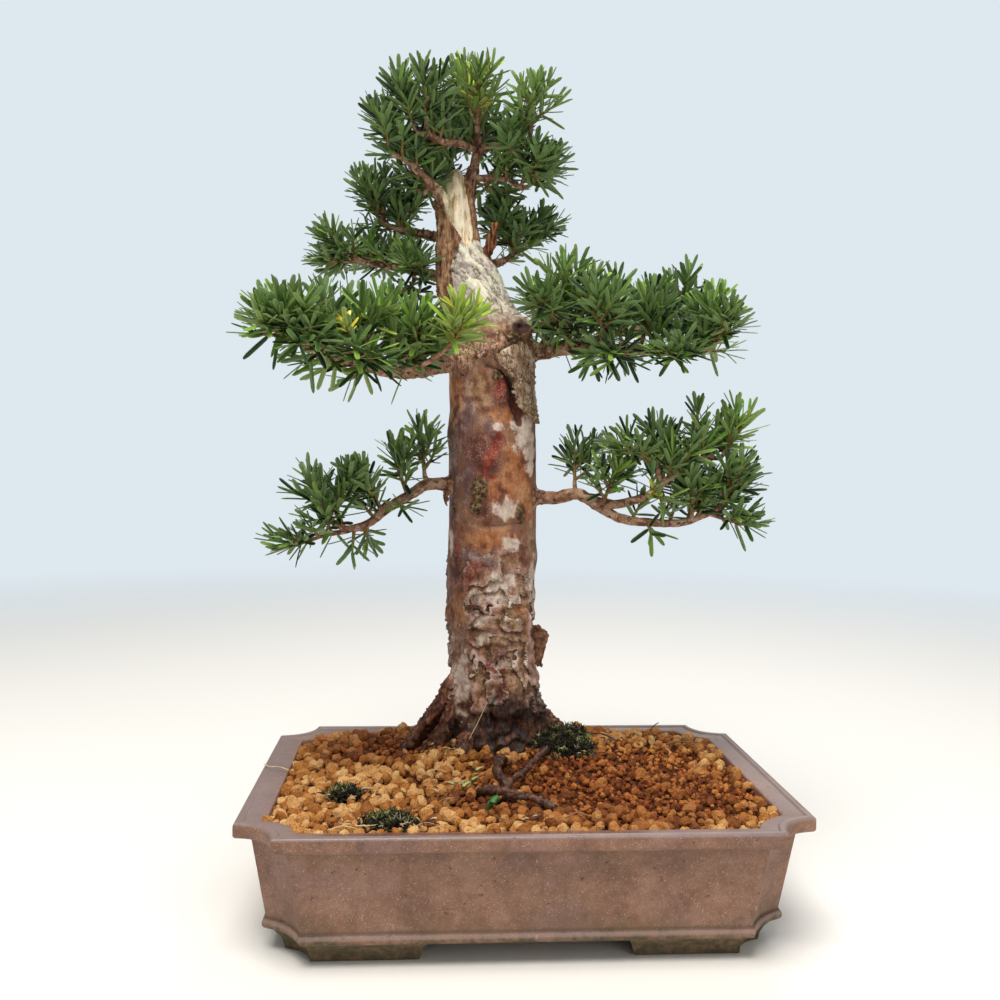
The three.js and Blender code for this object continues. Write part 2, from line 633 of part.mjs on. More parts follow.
// One needle as a slim spindle with three sides: pointed at both ends and widest halfway
function needle(root, direction, up, length) {
  const side = direction.clone().cross(up).normalize();
  const top = side.clone().cross(direction).normalize();
  const middle = root.clone().addScaledVector(direction, 0.5 * length).addScaledVector(top, NEEDLE_THICKNESS);
  const points = [
    root.clone().addScaledVector(direction, -0.6),
    middle.clone().addScaledVector(side, -NEEDLE_WIDTH / 2),
    middle.clone().addScaledVector(side, NEEDLE_WIDTH / 2),
    root.clone().addScaledVector(direction, length),
  ];
  const geometry = new THREE.BufferGeometry().setFromPoints(points);
  geometry.setIndex([0, 2, 1, 3, 1, 2, 0, 1, 3, 0, 3, 2]);
  return solidOf(geometry);
}

// A level direction square to the given one
function levelAcross(direction) {
  const across = vec(0, 0, 1).cross(direction);
  return across.length() < 0.05 ? vec(1, 0, 0) : across.normalize();
}

// The stems of a spray: a leading shoot, and a side shoot that forks from it
function shootsOf(name) {
  const { base, direction, stemLength } = sprayAxis(name);
  const start = base.clone().addScaledVector(direction, CLEARANCE);
  const end = base.clone().addScaledVector(direction, stemLength);
  const fork = start.clone().lerp(end, 0.3);
  const random = seededRandom(seedOf(name) + 1);
  const across = levelAcross(direction);
  const over = direction.clone().cross(across).normalize();
  const turn = random() < 0.5 ? 0.4 * random() : Math.PI - 0.4 * random();
  const sideWay = direction.clone().multiplyScalar(0.75);
  sideWay.addScaledVector(across, 0.66 * Math.cos(turn)).addScaledVector(over, 0.66 * Math.sin(turn));
  const sideEnd = fork.clone().addScaledVector(sideWay.normalize(), 0.72 * stemLength);
  const leader = { start, end, radius: STEM_RADIUS, count: LEADER_NEEDLES, from: 0.3 };
  return [leader, { start: fork, end: sideEnd, radius: 0.9 * STEM_RADIUS, count: SIDE_NEEDLES, from: 0.45 }];
}

const seedOf = (name) => [...name].reduce((sum, c) => (sum * 31 + c.charCodeAt(0)) | 0, 5);

// One spray: slim stems with needles all round them, each kept clear of every other node
function makeSpray(name, obstacles) {
  const random = seededRandom(seedOf(name));
  const shoots = shootsOf(name);
  const solids = shoots.map((shoot) => tube([shoot.start, shoot.end], shoot.radius, 0.8, TWIG_SIDES, 1));
  const mine = [];
  for (const shoot of shoots) {
    const direction = shoot.end.clone().sub(shoot.start).normalize();
    const across = levelAcross(direction);
    const over = direction.clone().cross(across).normalize();
    for (let i = 0; i < shoot.count; i++) {
      const share = i / (shoot.count - 1);
      const root = shoot.start.clone().lerp(shoot.end, shoot.from + (0.96 - shoot.from) * share);
      for (let attempt = 0; attempt < 24; attempt++) {
        const turn = i * 2.39996 + attempt * 0.31 + 0.3 * random();
        const spread = THREE.MathUtils.degToRad(86 - 58 * share + 8 * random() - attempt * 0.8);
        const full = NEEDLE_LENGTH * (0.9 + 0.16 * Math.sin(Math.PI * share) + 0.08 * random());
        const length = attempt > 11 ? 0.8 * full : full;
        const radial = across.clone().multiplyScalar(Math.cos(turn)).addScaledVector(over, Math.sin(turn));
        const way = direction.clone().multiplyScalar(Math.cos(spread));
        way.addScaledVector(radial, Math.sin(spread)).add(vec(0, 0, 0.12)).normalize();
        const tip = root.clone().addScaledVector(way, length);
        const inBounds = Math.abs(tip.x) < RIM_HALF_X + 4 && Math.abs(tip.y) < RIM_HALF_Y - 1;
        const reach = stretch(root, tip, NEEDLE_WIDTH / 2, name);
        const clear = obstacles.every(
          (other) => other.owner === name || apartBy(reach, other, reach.radius + other.radius + 0.5));
        const outer = stretch(root.clone().lerp(tip, 0.45), tip, 1, name);
        const apart = mine.every((other) => apartBy(outer, other, NEEDLE_WIDTH * 0.8));
        if (inBounds && clear && (apart || attempt > 17)) {
          solids.push(needle(root, way, direction, length));
          mine.push(reach);
          break;
        }
      }
    }
  }
  obstacles.push(...mine);
  return tidied(mainBody(joined(solids)));
}

// Straight stretches that stand for the wood where needles must keep clear of it
function woodStretches() {
  const stretches = [];
  const add = (points, start, end, sides, steps) => {
    const curve = new THREE.CatmullRomCurve3(points, false, "centripetal");
    for (let s = 0; s < steps; s++) {
      const radius = start + (end - start) * (s / steps);
      stretches.push(stretch(curve.getPointAt(s / steps), curve.getPointAt((s + 1) / steps), radius, "wood"));
    }
  };
  for (const [points, start, end] of Object.values(LIMBS)) {
    add(vectors(points), start, end, TUBE_SIDES, points.length);
  }
  TRUNK_SECTIONS.slice(0, -1).forEach(([z, x, hx, hy], i) => {
    const [nextZ, nextX] = TRUNK_SECTIONS[i + 1];
    const ends = [vec(x, TRUNK_Y, z), vec(nextX, TRUNK_Y, nextZ)];
    stretches.push(stretch(ends[0], ends[1], Math.max(hx, hy) + 2.5, "wood"));
  });
  stretches.push(stretch(vec(-28, 51, 412), vec(-17, 46, 442), 4.5, "wood"));
  for (const name of Object.keys(SPRAYS)) add(...twigOf(name));
  return stretches;
}

// Stems of all sprays, so that no needle runs into a neighbour's stem
function stemStretches() {
  return Object.keys(SPRAYS).flatMap((name) =>
    shootsOf(name).map((shoot) => stretch(shoot.start, shoot.end, shoot.radius, name)));
}

const material = (color, roughness) => new THREE.MeshStandardMaterial({ color, roughness, metalness: 0 });
const stoneware = material(0x8a6a5c, 0.55);
const netting = material(0x23262a, 0.6);
const akadama = material(0xa86b35, 0.95);
const bark = material(0x8c6a55, 0.85);
const moss = material(0x44542a, 1);
const foliage = material(0x3f6b34, 0.5);

const bonsai = new THREE.Group();
function place(name, solid, finish) {
  const mesh = new THREE.Mesh(geometryOf(solid), finish);
  mesh.name = name;
  bonsai.add(mesh);
}

const wood = makeWood(0);
const woodRoom = makeWood(CLEARANCE + 0.1);
place("pot", makePot(), stoneware);
place("drain_screen_left", makeScreen(-1), netting);
place("drain_screen_right", makeScreen(1), netting);
place("soil", makeSoil([woodRoom, ...Object.keys(MOSS).map((name) => mossCushion(name, CLEARANCE + 0.1))]), akadama);
place("tree", wood, bark);
for (const name of Object.keys(MOSS)) {
  place(name, mainBody(mossCushion(name, 0).subtract(woodRoom)), moss);
}
const obstacles = [...woodStretches(), ...stemStretches()];
for (const name of Object.keys(SPRAYS)) {
  place("spray_" + name, makeSpray(name, obstacles), foliage);
}

export default bonsai;
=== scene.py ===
# %% [markdown]
# # A Japanese yew bonsai in its pot
#
# An old yew stands in a footed, unglazed pot. This notebook dresses a plain solid model of it. The solids
# give every piece its place and size, and the cells below give each piece its fine shape and its finish. +Z
# is up, -Y is the side that the tree is looked at from, and Blender's unit is a metre.

# %% Load the solids that every piece keeps to
import math
import random

import bmesh
import bpy
import numpy as np
from mathutils import Matrix, Vector
from mathutils.noise import fractal


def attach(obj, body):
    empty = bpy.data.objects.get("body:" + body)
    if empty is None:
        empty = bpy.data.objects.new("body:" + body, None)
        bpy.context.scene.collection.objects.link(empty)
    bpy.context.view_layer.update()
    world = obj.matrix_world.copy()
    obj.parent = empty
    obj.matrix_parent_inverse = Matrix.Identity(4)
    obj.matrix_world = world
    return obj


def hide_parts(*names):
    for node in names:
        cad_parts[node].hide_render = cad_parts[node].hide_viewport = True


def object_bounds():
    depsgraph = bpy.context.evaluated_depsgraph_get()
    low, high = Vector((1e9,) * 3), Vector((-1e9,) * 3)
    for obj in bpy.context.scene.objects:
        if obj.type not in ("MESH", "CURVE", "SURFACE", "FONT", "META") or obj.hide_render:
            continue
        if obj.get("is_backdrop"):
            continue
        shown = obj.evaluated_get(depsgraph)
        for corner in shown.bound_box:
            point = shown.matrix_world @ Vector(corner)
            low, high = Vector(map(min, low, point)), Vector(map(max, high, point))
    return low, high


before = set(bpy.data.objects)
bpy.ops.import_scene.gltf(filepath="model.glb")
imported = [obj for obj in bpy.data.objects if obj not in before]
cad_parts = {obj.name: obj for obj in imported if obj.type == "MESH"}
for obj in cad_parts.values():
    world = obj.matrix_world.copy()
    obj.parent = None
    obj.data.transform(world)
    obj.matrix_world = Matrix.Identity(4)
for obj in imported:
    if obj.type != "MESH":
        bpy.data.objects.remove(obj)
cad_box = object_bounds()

MM = 0.001
print("solids loaded:", len(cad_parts))

# %% [markdown]
# ## Expressions that build nodes
#
# A finish is a sum: rust where the noise is high, times the wetness near the soil, and so on. Drawn by hand
# that is a web of Math nodes. Here a small class wraps one output of a node, and Python's own operators add
# the Math node for us, so a finish can be read as a formula. The same class serves shader trees and
# Geometry Nodes trees, which lets one formula for bark both push the surface in and colour it.

# %% A wrapper that turns Python expressions into nodes
class Wire:
    """One output of a node. Numbers go through Math nodes, vectors through Vector Math nodes."""

    def __init__(self, tree, socket=None):
        self.tree = tree
        self.socket = socket

    def node(self, kind, settings=None, inputs=None, output=0):
        """Adds any node: its settings first, then the values or links of its sockets."""
        made = self.tree.nodes.new(kind)
        for name, value in (settings or {}).items():
            if name == "stops":
                set_stops(made.color_ramp.elements, value)
            else:
                setattr(made, name, value)
        for name, value in (inputs or {}).items():
            if isinstance(value, Wire):
                self.tree.links.new(value.socket, made.inputs[name])
            else:
                made.inputs[name].default_value = value
        return Wire(self.tree, made.outputs[output] if made.outputs else None)

    def out(self, name):
        """Another output of the same node."""
        return Wire(self.tree, self.socket.node.outputs[name])

    def is_vector(self):
        return self.socket.type in ("VECTOR", "RGBA")

    def math(self, operation, *others):
        return self.node("ShaderNodeMath", {"operation": operation}, dict(enumerate((self, *others))))

    def vector_math(self, operation, *others, output=0):
        inputs = dict(enumerate((self, *others)))
        return self.node("ShaderNodeVectorMath", {"operation": operation}, inputs, output)

    def pair(self, operation, first, second):
        sides = (first, second)
        vectors = [s.is_vector() if isinstance(s, Wire) else isinstance(s, (tuple, Vector)) for s in sides]
        if not any(vectors):
            return self.node("ShaderNodeMath", {"operation": operation}, dict(enumerate(sides)))
        if operation == "MULTIPLY" and not all(vectors):
            vector, number = sides if vectors[0] else sides[::-1]
            scaled = {0: vector, "Scale": number}
            return self.node("ShaderNodeVectorMath", {"operation": "SCALE"}, scaled)
        spread = [(s, s, s) if isinstance(s, (int, float)) else s for s in sides]
        return self.node("ShaderNodeVectorMath", {"operation": operation}, dict(enumerate(spread)))

    def __pow__(self, power):
        return self.math("POWER", power)

    def between(self, low, high):
        """0 below low and 1 above high, with a soft step from one to the other. High may be the lower."""
        sides = {"Value": self, "From Min": low, "From Max": high}
        return self.node("ShaderNodeMapRange", {"interpolation_type": "SMOOTHSTEP"}, sides)

    def axis(self, name):
        return self.node("ShaderNodeSeparateXYZ", inputs={0: self}).out(name)

    def point(self, x, y, z):
        """A vector from three numbers or wires."""
        return self.node("ShaderNodeCombineXYZ", inputs={0: x, 1: y, 2: z})

    def noise(self, size, detail=2.0, roughness=0.5, output=0):
        """Cloudy noise whose blotches are about size metres across: a number from 0 to 1, or as output 1
        a vector of three such numbers."""
        inputs = {"Vector": self, "Scale": 1 / size, "Detail": detail, "Roughness": roughness}
        return self.node("ShaderNodeTexNoise", None, inputs, output)

    def cells(self, size, feature="F1"):
        """Irregular cells about size metres across. The output is the distance to a centre or an edge."""
        return self.node("ShaderNodeTexVoronoi", {"feature": feature}, {"Vector": self, "Scale": 1 / size})


def add_operator(name, operation):
    """Gives wires one of Python's operators, with the wire on its left and on its right."""
    setattr(Wire, f"__{name}__", lambda self, other: self.pair(operation, self, other))
    setattr(Wire, f"__r{name}__", lambda self, other: self.pair(operation, other, self))


for name, operation in (("add", "ADD"), ("sub", "SUBTRACT"), ("mul", "MULTIPLY"), ("truediv", "DIVIDE")):
    add_operator(name, operation)


def paint(code):
    """A colour as it looks on a screen, such as 8a6a5c, in the linear light that Blender works in."""
    parts = [int(code[i : i + 2], 16) / 255 for i in (0, 2, 4)]
    linear = [p / 12.92 if p <= 0.04045 else ((p + 0.055) / 1.055) ** 2.4 for p in parts]
    return (*linear, 1.0)


def set_stops(elements, stops):
    """Colour ramp stops from pairs of a position and a colour code."""
    while len(elements) > 1:
        elements.remove(elements[-1])
    for place, code in stops[1:]:
        elements.new(place).color = paint(code)
    elements[0].position, elements[0].color = stops[0][0], paint(stops[0][1])


def ramp(factor, *stops):
    """A colour for each value of the factor, from pairs of a position and a colour code."""
    return factor.node("ShaderNodeValToRGB", {"stops": stops}, {0: factor})


def mix(factor, low, high):
    """Low where the factor is 0 and high where it is 1. Both are wires or colour codes."""
    low, high = (paint(side) if isinstance(side, str) else side for side in (low, high))
    return factor.node("ShaderNodeMix", {"data_type": "RGBA"}, {0: factor, 6: low, 7: high}, output=2)


def mix_numbers(factor, low, high):
    return factor.node("ShaderNodeMix", {"data_type": "FLOAT"}, {0: factor, 2: low, 3: high})


# %% [markdown]
# A finish is a material with one Principled shader. The next cell gives its two ends: where a pattern
# starts, and the shader that the colour, the roughness and the bump go into.
#
# Patterns read Object coordinates or an attribute that the mesh carries, so that they stay put on the piece
# from whichever side it is looked at.

# %% Helpers for finishes
def new_finish(name):
    """An empty material and a wire that nodes can be added from."""
    material = bpy.data.materials.new(name)
    material.use_nodes = True
    material.node_tree.nodes.clear()
    return material, Wire(material.node_tree)


def object_place(start):
    return start.node("ShaderNodeTexCoord").out("Object")


def attribute(start, name, output="Fac"):
    """A value or vector that the mesh carries, such as how wet the bark is at each point."""
    return start.node("ShaderNodeAttribute", {"attribute_name": name}).out(output)


def bump(height, distance, strength=1.0):
    """A fine relief that only bends the light: the height runs from 0 to 1 over the distance in metres."""
    inputs = {"Height": height, "Distance": distance, "Strength": strength}
    return height.node("ShaderNodeBump", inputs=inputs)


def shade(start, colour, roughness, normal, **fixed):
    """The shader and the output. Fixed values are the same all over and stay on the shader's own sockets."""
    inputs = {"Base Color": colour, "Roughness": roughness, "Normal": normal}
    inputs |= {name.replace("_", " "): value for name, value in fixed.items()}
    shader = start.node("ShaderNodeBsdfPrincipled", inputs=inputs)
    start.node("ShaderNodeOutputMaterial", inputs={"Surface": shader})


# %% [markdown]
# ## Helpers for shapes
#
# A mesh piece starts as a list of points in millimetres. A geometry recipe is a Geometry Nodes tree built in
# the script. It is run once on a simple starting mesh, its result becomes a plain mesh, and the modifier is
# gone before the piece joins the model, so that what is rendered is that plain mesh.

# %% Mesh pieces and geometry recipes
def new_object(name, data):
    """An object in the scene that shows a mesh, or holds a camera or a lamp."""
    made = bpy.data.objects.new(name, data)
    bpy.context.scene.collection.objects.link(made)
    return made


def new_piece(name, points_mm, faces, edges=()):
    """A mesh object at the origin, from points in millimetres."""
    mesh = bpy.data.meshes.new(name)
    mesh.from_pydata([tuple(Vector(p) * MM) for p in points_mm], list(edges), faces)
    return new_object(name, mesh)


def set_values(piece, name, values):
    """Stores one number for each vertex, which trees and finishes can read by name."""
    stored = piece.data.attributes.new(name, "FLOAT", "POINT")
    stored.data.foreach_set("value", np.asarray(values, dtype=np.float32))


def places_of(piece):
    """The vertices of a piece as an array of points in millimetres."""
    flat = np.empty(3 * len(piece.data.vertices), dtype=np.float32)
    piece.data.vertices.foreach_get("co", flat)
    return flat.reshape(-1, 3) / MM


def baked(piece):
    """Applies all modifiers of a piece: its evaluated mesh becomes its own."""
    graph = bpy.context.evaluated_depsgraph_get()
    made = bpy.data.meshes.new_from_object(
        piece.evaluated_get(graph), preserve_all_data_layers=True, depsgraph=graph)
    piece.modifiers.clear()
    old = piece.data
    piece.data = made
    made.name = piece.name
    bpy.data.meshes.remove(old)
    return piece


def merged(pieces, name):
    """Several mesh pieces as the loose parts of one."""
    base = pieces[0]
    with bpy.context.temp_override(active_object=base, selected_editable_objects=pieces):
        bpy.ops.object.join()
    base.name = name
    base.data.name = name
    return base


def new_recipe(name, sizes):
    """A Geometry Nodes tree with a named input for each size. Returns the tree and its input wires.
    Only the names of the sizes count here, and whether each is a whole number."""
    tree = bpy.data.node_groups.new(name, "GeometryNodeTree")
    tree.interface.new_socket("Geometry", in_out="INPUT", socket_type="NodeSocketGeometry")
    for label, size in sizes.items():
        kind = "NodeSocketInt" if isinstance(size, int) else "NodeSocketFloat"
        tree.interface.new_socket(label, in_out="INPUT", socket_type=kind)
    tree.interface.new_socket("Geometry", in_out="OUTPUT", socket_type="NodeSocketGeometry")
    entry = tree.nodes.new("NodeGroupInput")
    return tree, {socket.name: Wire(tree, socket) for socket in entry.outputs if socket.name}


def realized(geometry):
    """Turns copies that only point to a mesh into real meshes."""
    return geometry.node("GeometryNodeRealizeInstances", inputs={0: geometry})


def finished(geometry, material):
    """The geometry with a finish on it."""
    return geometry.node("GeometryNodeSetMaterial", inputs={"Geometry": geometry, "Material": material})


def joined(first, second):
    """Two geometries as one."""
    both = first.node("GeometryNodeJoinGeometry", inputs={0: first})
    both.tree.links.new(second.socket, both.socket.node.inputs[0])
    return both


def end_recipe(geometry, material=None):
    """Closes a tree: copies become real meshes, and the finish is set unless they have their own."""
    done = realized(geometry)
    if material:
        done = finished(done, material)
    done.node("NodeGroupOutput", inputs={0: done})


def run_recipe(piece, tree, sizes):
    """Runs a tree on a piece with the given sizes and turns the result into a plain mesh."""
    modifier = piece.modifiers.new(tree.name, "NODES")
    modifier.node_group = tree
    for item in tree.interface.items_tree:
        if item.in_out == "INPUT" and item.name in sizes:
            modifier[item.identifier] = sizes[item.name]
    return baked(piece)


def store(geometry, name, value):
    """Keeps a value on the points of the geometry under a name, as a number or a vector."""
    settings = {"data_type": "FLOAT_VECTOR" if value.is_vector() else "FLOAT"}
    inputs = {"Geometry": geometry, "Name": name, "Value": value}
    return geometry.node("GeometryNodeStoreNamedAttribute", settings, inputs)


def read(start, name, kind="FLOAT"):
    """A named value that the geometry carries."""
    return start.node("GeometryNodeInputNamedAttribute", {"data_type": kind}, {"Name": name})


def moved(geometry, offset):
    return geometry.node("GeometryNodeSetPosition", inputs={"Geometry": geometry, "Offset": offset})


def chance(start, low, high, seed):
    """A random number for each point, between low and high, or a random vector between two."""
    if isinstance(low, tuple):
        inputs = {0: low, 1: high, "Seed": seed}
        return start.node("FunctionNodeRandomValue", {"data_type": "FLOAT_VECTOR"}, inputs)
    inputs = {2: low, 3: high, "Seed": seed}
    return start.node("FunctionNodeRandomValue", {"data_type": "FLOAT"}, inputs, output=1)


def scattered(surface, closest, crowd, seed, share=1.0):
    """Points all over a surface, at least the closest distance apart and no more than the crowd on a
    square metre. A share below 1 thins them out."""
    inputs = {"Mesh": surface, "Distance Min": closest, "Density Max": crowd, "Density Factor": share}
    settings = {"distribute_method": "POISSON"}
    return surface.node("GeometryNodeDistributePointsOnFaces", settings, inputs | {"Seed": seed})


def copies_on(points, shape, turn, scale):
    """A real copy of a shape on each point."""
    inputs = {"Points": points, "Instance": shape, "Rotation": turn, "Scale": scale}
    return realized(points.node("GeometryNodeInstanceOnPoints", inputs=inputs))


def tubes_along(lines, girth, sides):
    """A tube round each line, as thick at each point as the girth there."""
    ring = lines.node("GeometryNodeCurvePrimitiveCircle", inputs={"Resolution": sides, 4: 1.0})
    inputs = {"Curve": lines, "Profile Curve": ring, "Scale": girth, "Fill Caps": True}
    return lines.node("GeometryNodeCurveToMesh", inputs=inputs)


def loft(rings, close_ends=True):
    """Points and faces of a closed skin over rings that all have the same number of points."""
    count = len(rings[0])
    points = [p for ring in rings for p in ring]
    faces = []
    for r in range(len(rings) - 1):
        for i in range(count):
            a = r * count + i
            b = r * count + (i + 1) % count
            faces.append((a, b, b + count, a + count))
    if close_ends:
        for ring, start, flip in ((rings[0], 0, True), (rings[-1], (len(rings) - 1) * count, False)):
            points.append(tuple(sum(p[k] for p in ring) / count for k in range(3)))
            centre = len(points) - 1
            for i in range(count):
                a, b = start + i, start + (i + 1) % count
                faces.append((centre, b, a) if flip else (centre, a, b))
    return points, faces


def ship(piece, slot, *nodes):
    """Puts a finished piece into the model: it rides on the root body and stands for the given solids."""
    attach(piece, "root")
    if nodes:
        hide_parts(*nodes)
    print(piece.name, sum(len(face.vertices) - 2 for face in piece.data.polygons), "triangles")


# %% [markdown]
# Branches, roots and the trunk's line all follow smooth curves through a few points. A centripetal
# Catmull-Rom curve passes through each of its points without swinging out between them, so a few listed
# points are enough.

# %% Smooth curves through points
def length_of(points):
    """The length of the straight lines from each point to the next."""
    return sum((Vector(q) - Vector(p)).length for p, q in zip(points, points[1:]))


def turns_of(sides):
    """Evenly spaced angles round a circle."""
    return [2 * math.pi * i / sides for i in range(sides)]


def smooth_point(points, share):
    """The point at a share from 0 to 1 of the way along a centripetal Catmull-Rom curve."""
    points = [Vector(p) for p in points]
    last = len(points) - 1
    at = min(int(share * last), last - 1)
    t = share * last - at
    b, c = points[at], points[at + 1]
    a = points[at - 1] if at > 0 else 2 * b - c
    d = points[at + 2] if at + 2 <= last else 2 * c - b
    gaps = [max((q - p).length ** 0.5, 1e-2) for p, q in ((a, b), (b, c), (c, d))]
    start = ((b - a) / gaps[0] - (c - a) / (gaps[0] + gaps[1]) + (c - b) / gaps[1]) * gaps[1]
    end = ((c - b) / gaps[1] - (d - b) / (gaps[1] + gaps[2]) + (d - c) / gaps[2]) * gaps[1]
    bend = -3 * b + 3 * c - 2 * start - end
    return b + start * t + bend * t * t + (2 * b - 2 * c + start + end) * t**3


def tube(points, start_radius, end_radius, sides, step):
    """A closed tapering tube along the curve, as points and faces in millimetres."""
    steps = max(2, round(length_of(points) / step))
    line = [smooth_point(points, s / steps) for s in range(steps + 1)]
    across = (line[1] - line[0]).orthogonal().normalized()
    rings = []
    for s, at in enumerate(line):
        along = (line[min(s + 1, steps)] - line[max(s - 1, 0)]).normalized()
        across = (across - along * across.dot(along)).normalized()
        over = along.cross(across)
        radius = start_radius + (end_radius - start_radius) * s / steps
        rings.append([tuple(at + radius * (across * math.cos(t) + over * math.sin(t)))
                      for t in turns_of(sides)])
    return loft(rings)


# %% [markdown]
# ## The camera
#
# The camera stands level with the middle of the trunk, some 70 cm in front of it and slightly to the left.
# Its place was worked out from the pot's corners, so the dressed tree lines up with the real one. The roll
# of under one degree is the hand that held the camera.

# %% Camera
CAMERA_PLACE = Vector((-57.5, -640.1, 283.1)) * MM
CAMERA_TURN = math.radians(3.92)
CAMERA_TILT = math.radians(-2.38)
CAMERA_ROLL = math.radians(0.82)


def add_camera():
    lens = bpy.data.cameras.new("camera")
    lens.sensor_width = 36
    lens.lens = 36
    lens.clip_start = 0.01
    camera = new_object("camera", lens)
    level = Matrix.Rotation(-CAMERA_TURN, 4, "Z") @ Matrix.Rotation(math.pi / 2 + CAMERA_TILT, 4, "X")
    camera.matrix_world = Matrix.Translation(CAMERA_PLACE) @ level @ Matrix.Rotation(CAMERA_ROLL, 4, "Z")
    bpy.context.scene.camera = camera


add_camera()

# %% [markdown]
# ## The pot
#
# The pot is hand-pressed stoneware, fired without glaze. Its plan is a rectangle whose corners are scooped
# inwards. A wide rim with a raised outer lip sits on walls that lean outwards, a round bead runs round the
# foot of the walls, and four corner feet lift the floor.
#
# All of it follows one rule: a row gives a height, half sizes and the depth of the scoop, and the skin
# stretched over many rows is the wall. Each row that makes a corner of the profile is swapped for a short
# bend, which gives the soft, slightly worn edges of real pottery.

# %% Sizes of the pot, in millimetres
RIM_HALF_X = 165
RIM_HALF_Y = 112.5
POT_HEIGHT = 80
RIM_HEIGHT = 9
RIM_OVERHANG = 8.7
BODY_TAPER = 7.4
CORNER_SCOOP = 24.5
FOOT_HEIGHT = 13.5
FOOT_INSET = 10
FOOT_WALL = 13
FOOT_GAP_HALF_X = 61
FOOT_GAP_HALF_Y = 38
FLOOR_THICKNESS = 8
MOUTH_HALF_X = 148
MOUTH_HALF_Y = 100
DRAIN_RADIUS = 13
DRAIN_X = 72
BODY_SCOOP = 3.5
RIM_SCOOP = 7
BEAD = 2.2
BEAD_MIDDLE = 3.8
BEAD_HALF_HEIGHT = 2.9
WALL = 8

BODY_TOP = POT_HEIGHT - RIM_HEIGHT
BODY_X = RIM_HALF_X - RIM_OVERHANG
BODY_Y = RIM_HALF_Y - RIM_OVERHANG
BASE_X = BODY_X - BODY_TAPER
BASE_Y = BODY_Y - BODY_TAPER
FLOOR_TOP = FOOT_HEIGHT + FLOOR_THICKNESS
# How finely the scooped corners, the sides, the bends of the profile and the drain holes are cut
ARC_STEPS = 10
SIDE_STEPS = 12
BEND_STEPS = 4
DRAIN_SIDES = 40
# Edges that turn by more than this are drawn sharp
SHARP_ANGLE = math.radians(38)


# %% The pot's plan and its profile
def plan_corner(half_x, half_y, cut, depth):
    """The scooped corner in the first quarter of the plan, from the long side round to the short side."""
    arc = []
    for i in range(ARC_STEPS + 1):
        along = i / ARC_STEPS
        sag = depth * 4 * along * (1 - along) * math.sqrt(0.5)
        arc.append((half_x - cut * (1 - along) - sag, half_y - cut * along - sag))
    return arc


def plan_ring(row):
    """One closed ring of the pot: a row gives its height, half sizes, corner cut and scoop."""
    z, half_x, half_y, cut, depth = row
    arc = plan_corner(half_x, half_y, cut, depth)
    corners = [[(sx * x, sy * y) for x, y in arc] for sx, sy in ((1, -1), (1, 1), (-1, 1), (-1, -1))]
    corners[1].reverse()
    corners[3].reverse()
    ring = []
    for corner, following in zip(corners, corners[1:] + corners[:1]):
        ring += corner
        (ax, ay), (bx, by) = corner[-1], following[0]
        for i in range(1, SIDE_STEPS):
            ring.append((ax + (bx - ax) * i / SIDE_STEPS, ay + (by - ay) * i / SIDE_STEPS))
    return [(x, y, z) for x, y in ring]


def softened(rows, radii):
    """Swaps each corner of a profile for a bend that starts the given distance before it."""
    rows = [np.array(row, dtype=float) for row in rows]
    out = [rows[0]]
    for before, row, after, radius in zip(rows, rows[1:], rows[2:], radii):
        ends = []
        for other in (before, after):
            reach = max(np.hypot(*(other - row)[:2]), 1e-6)
            ends.append(row + (other - row) * min(0.48, radius / reach))
        for i in range(BEND_STEPS + 1):
            t = i / BEND_STEPS
            out.append((1 - t) ** 2 * ends[0] + 2 * t * (1 - t) * row + t * t * ends[1])
    return out + [rows[-1]]


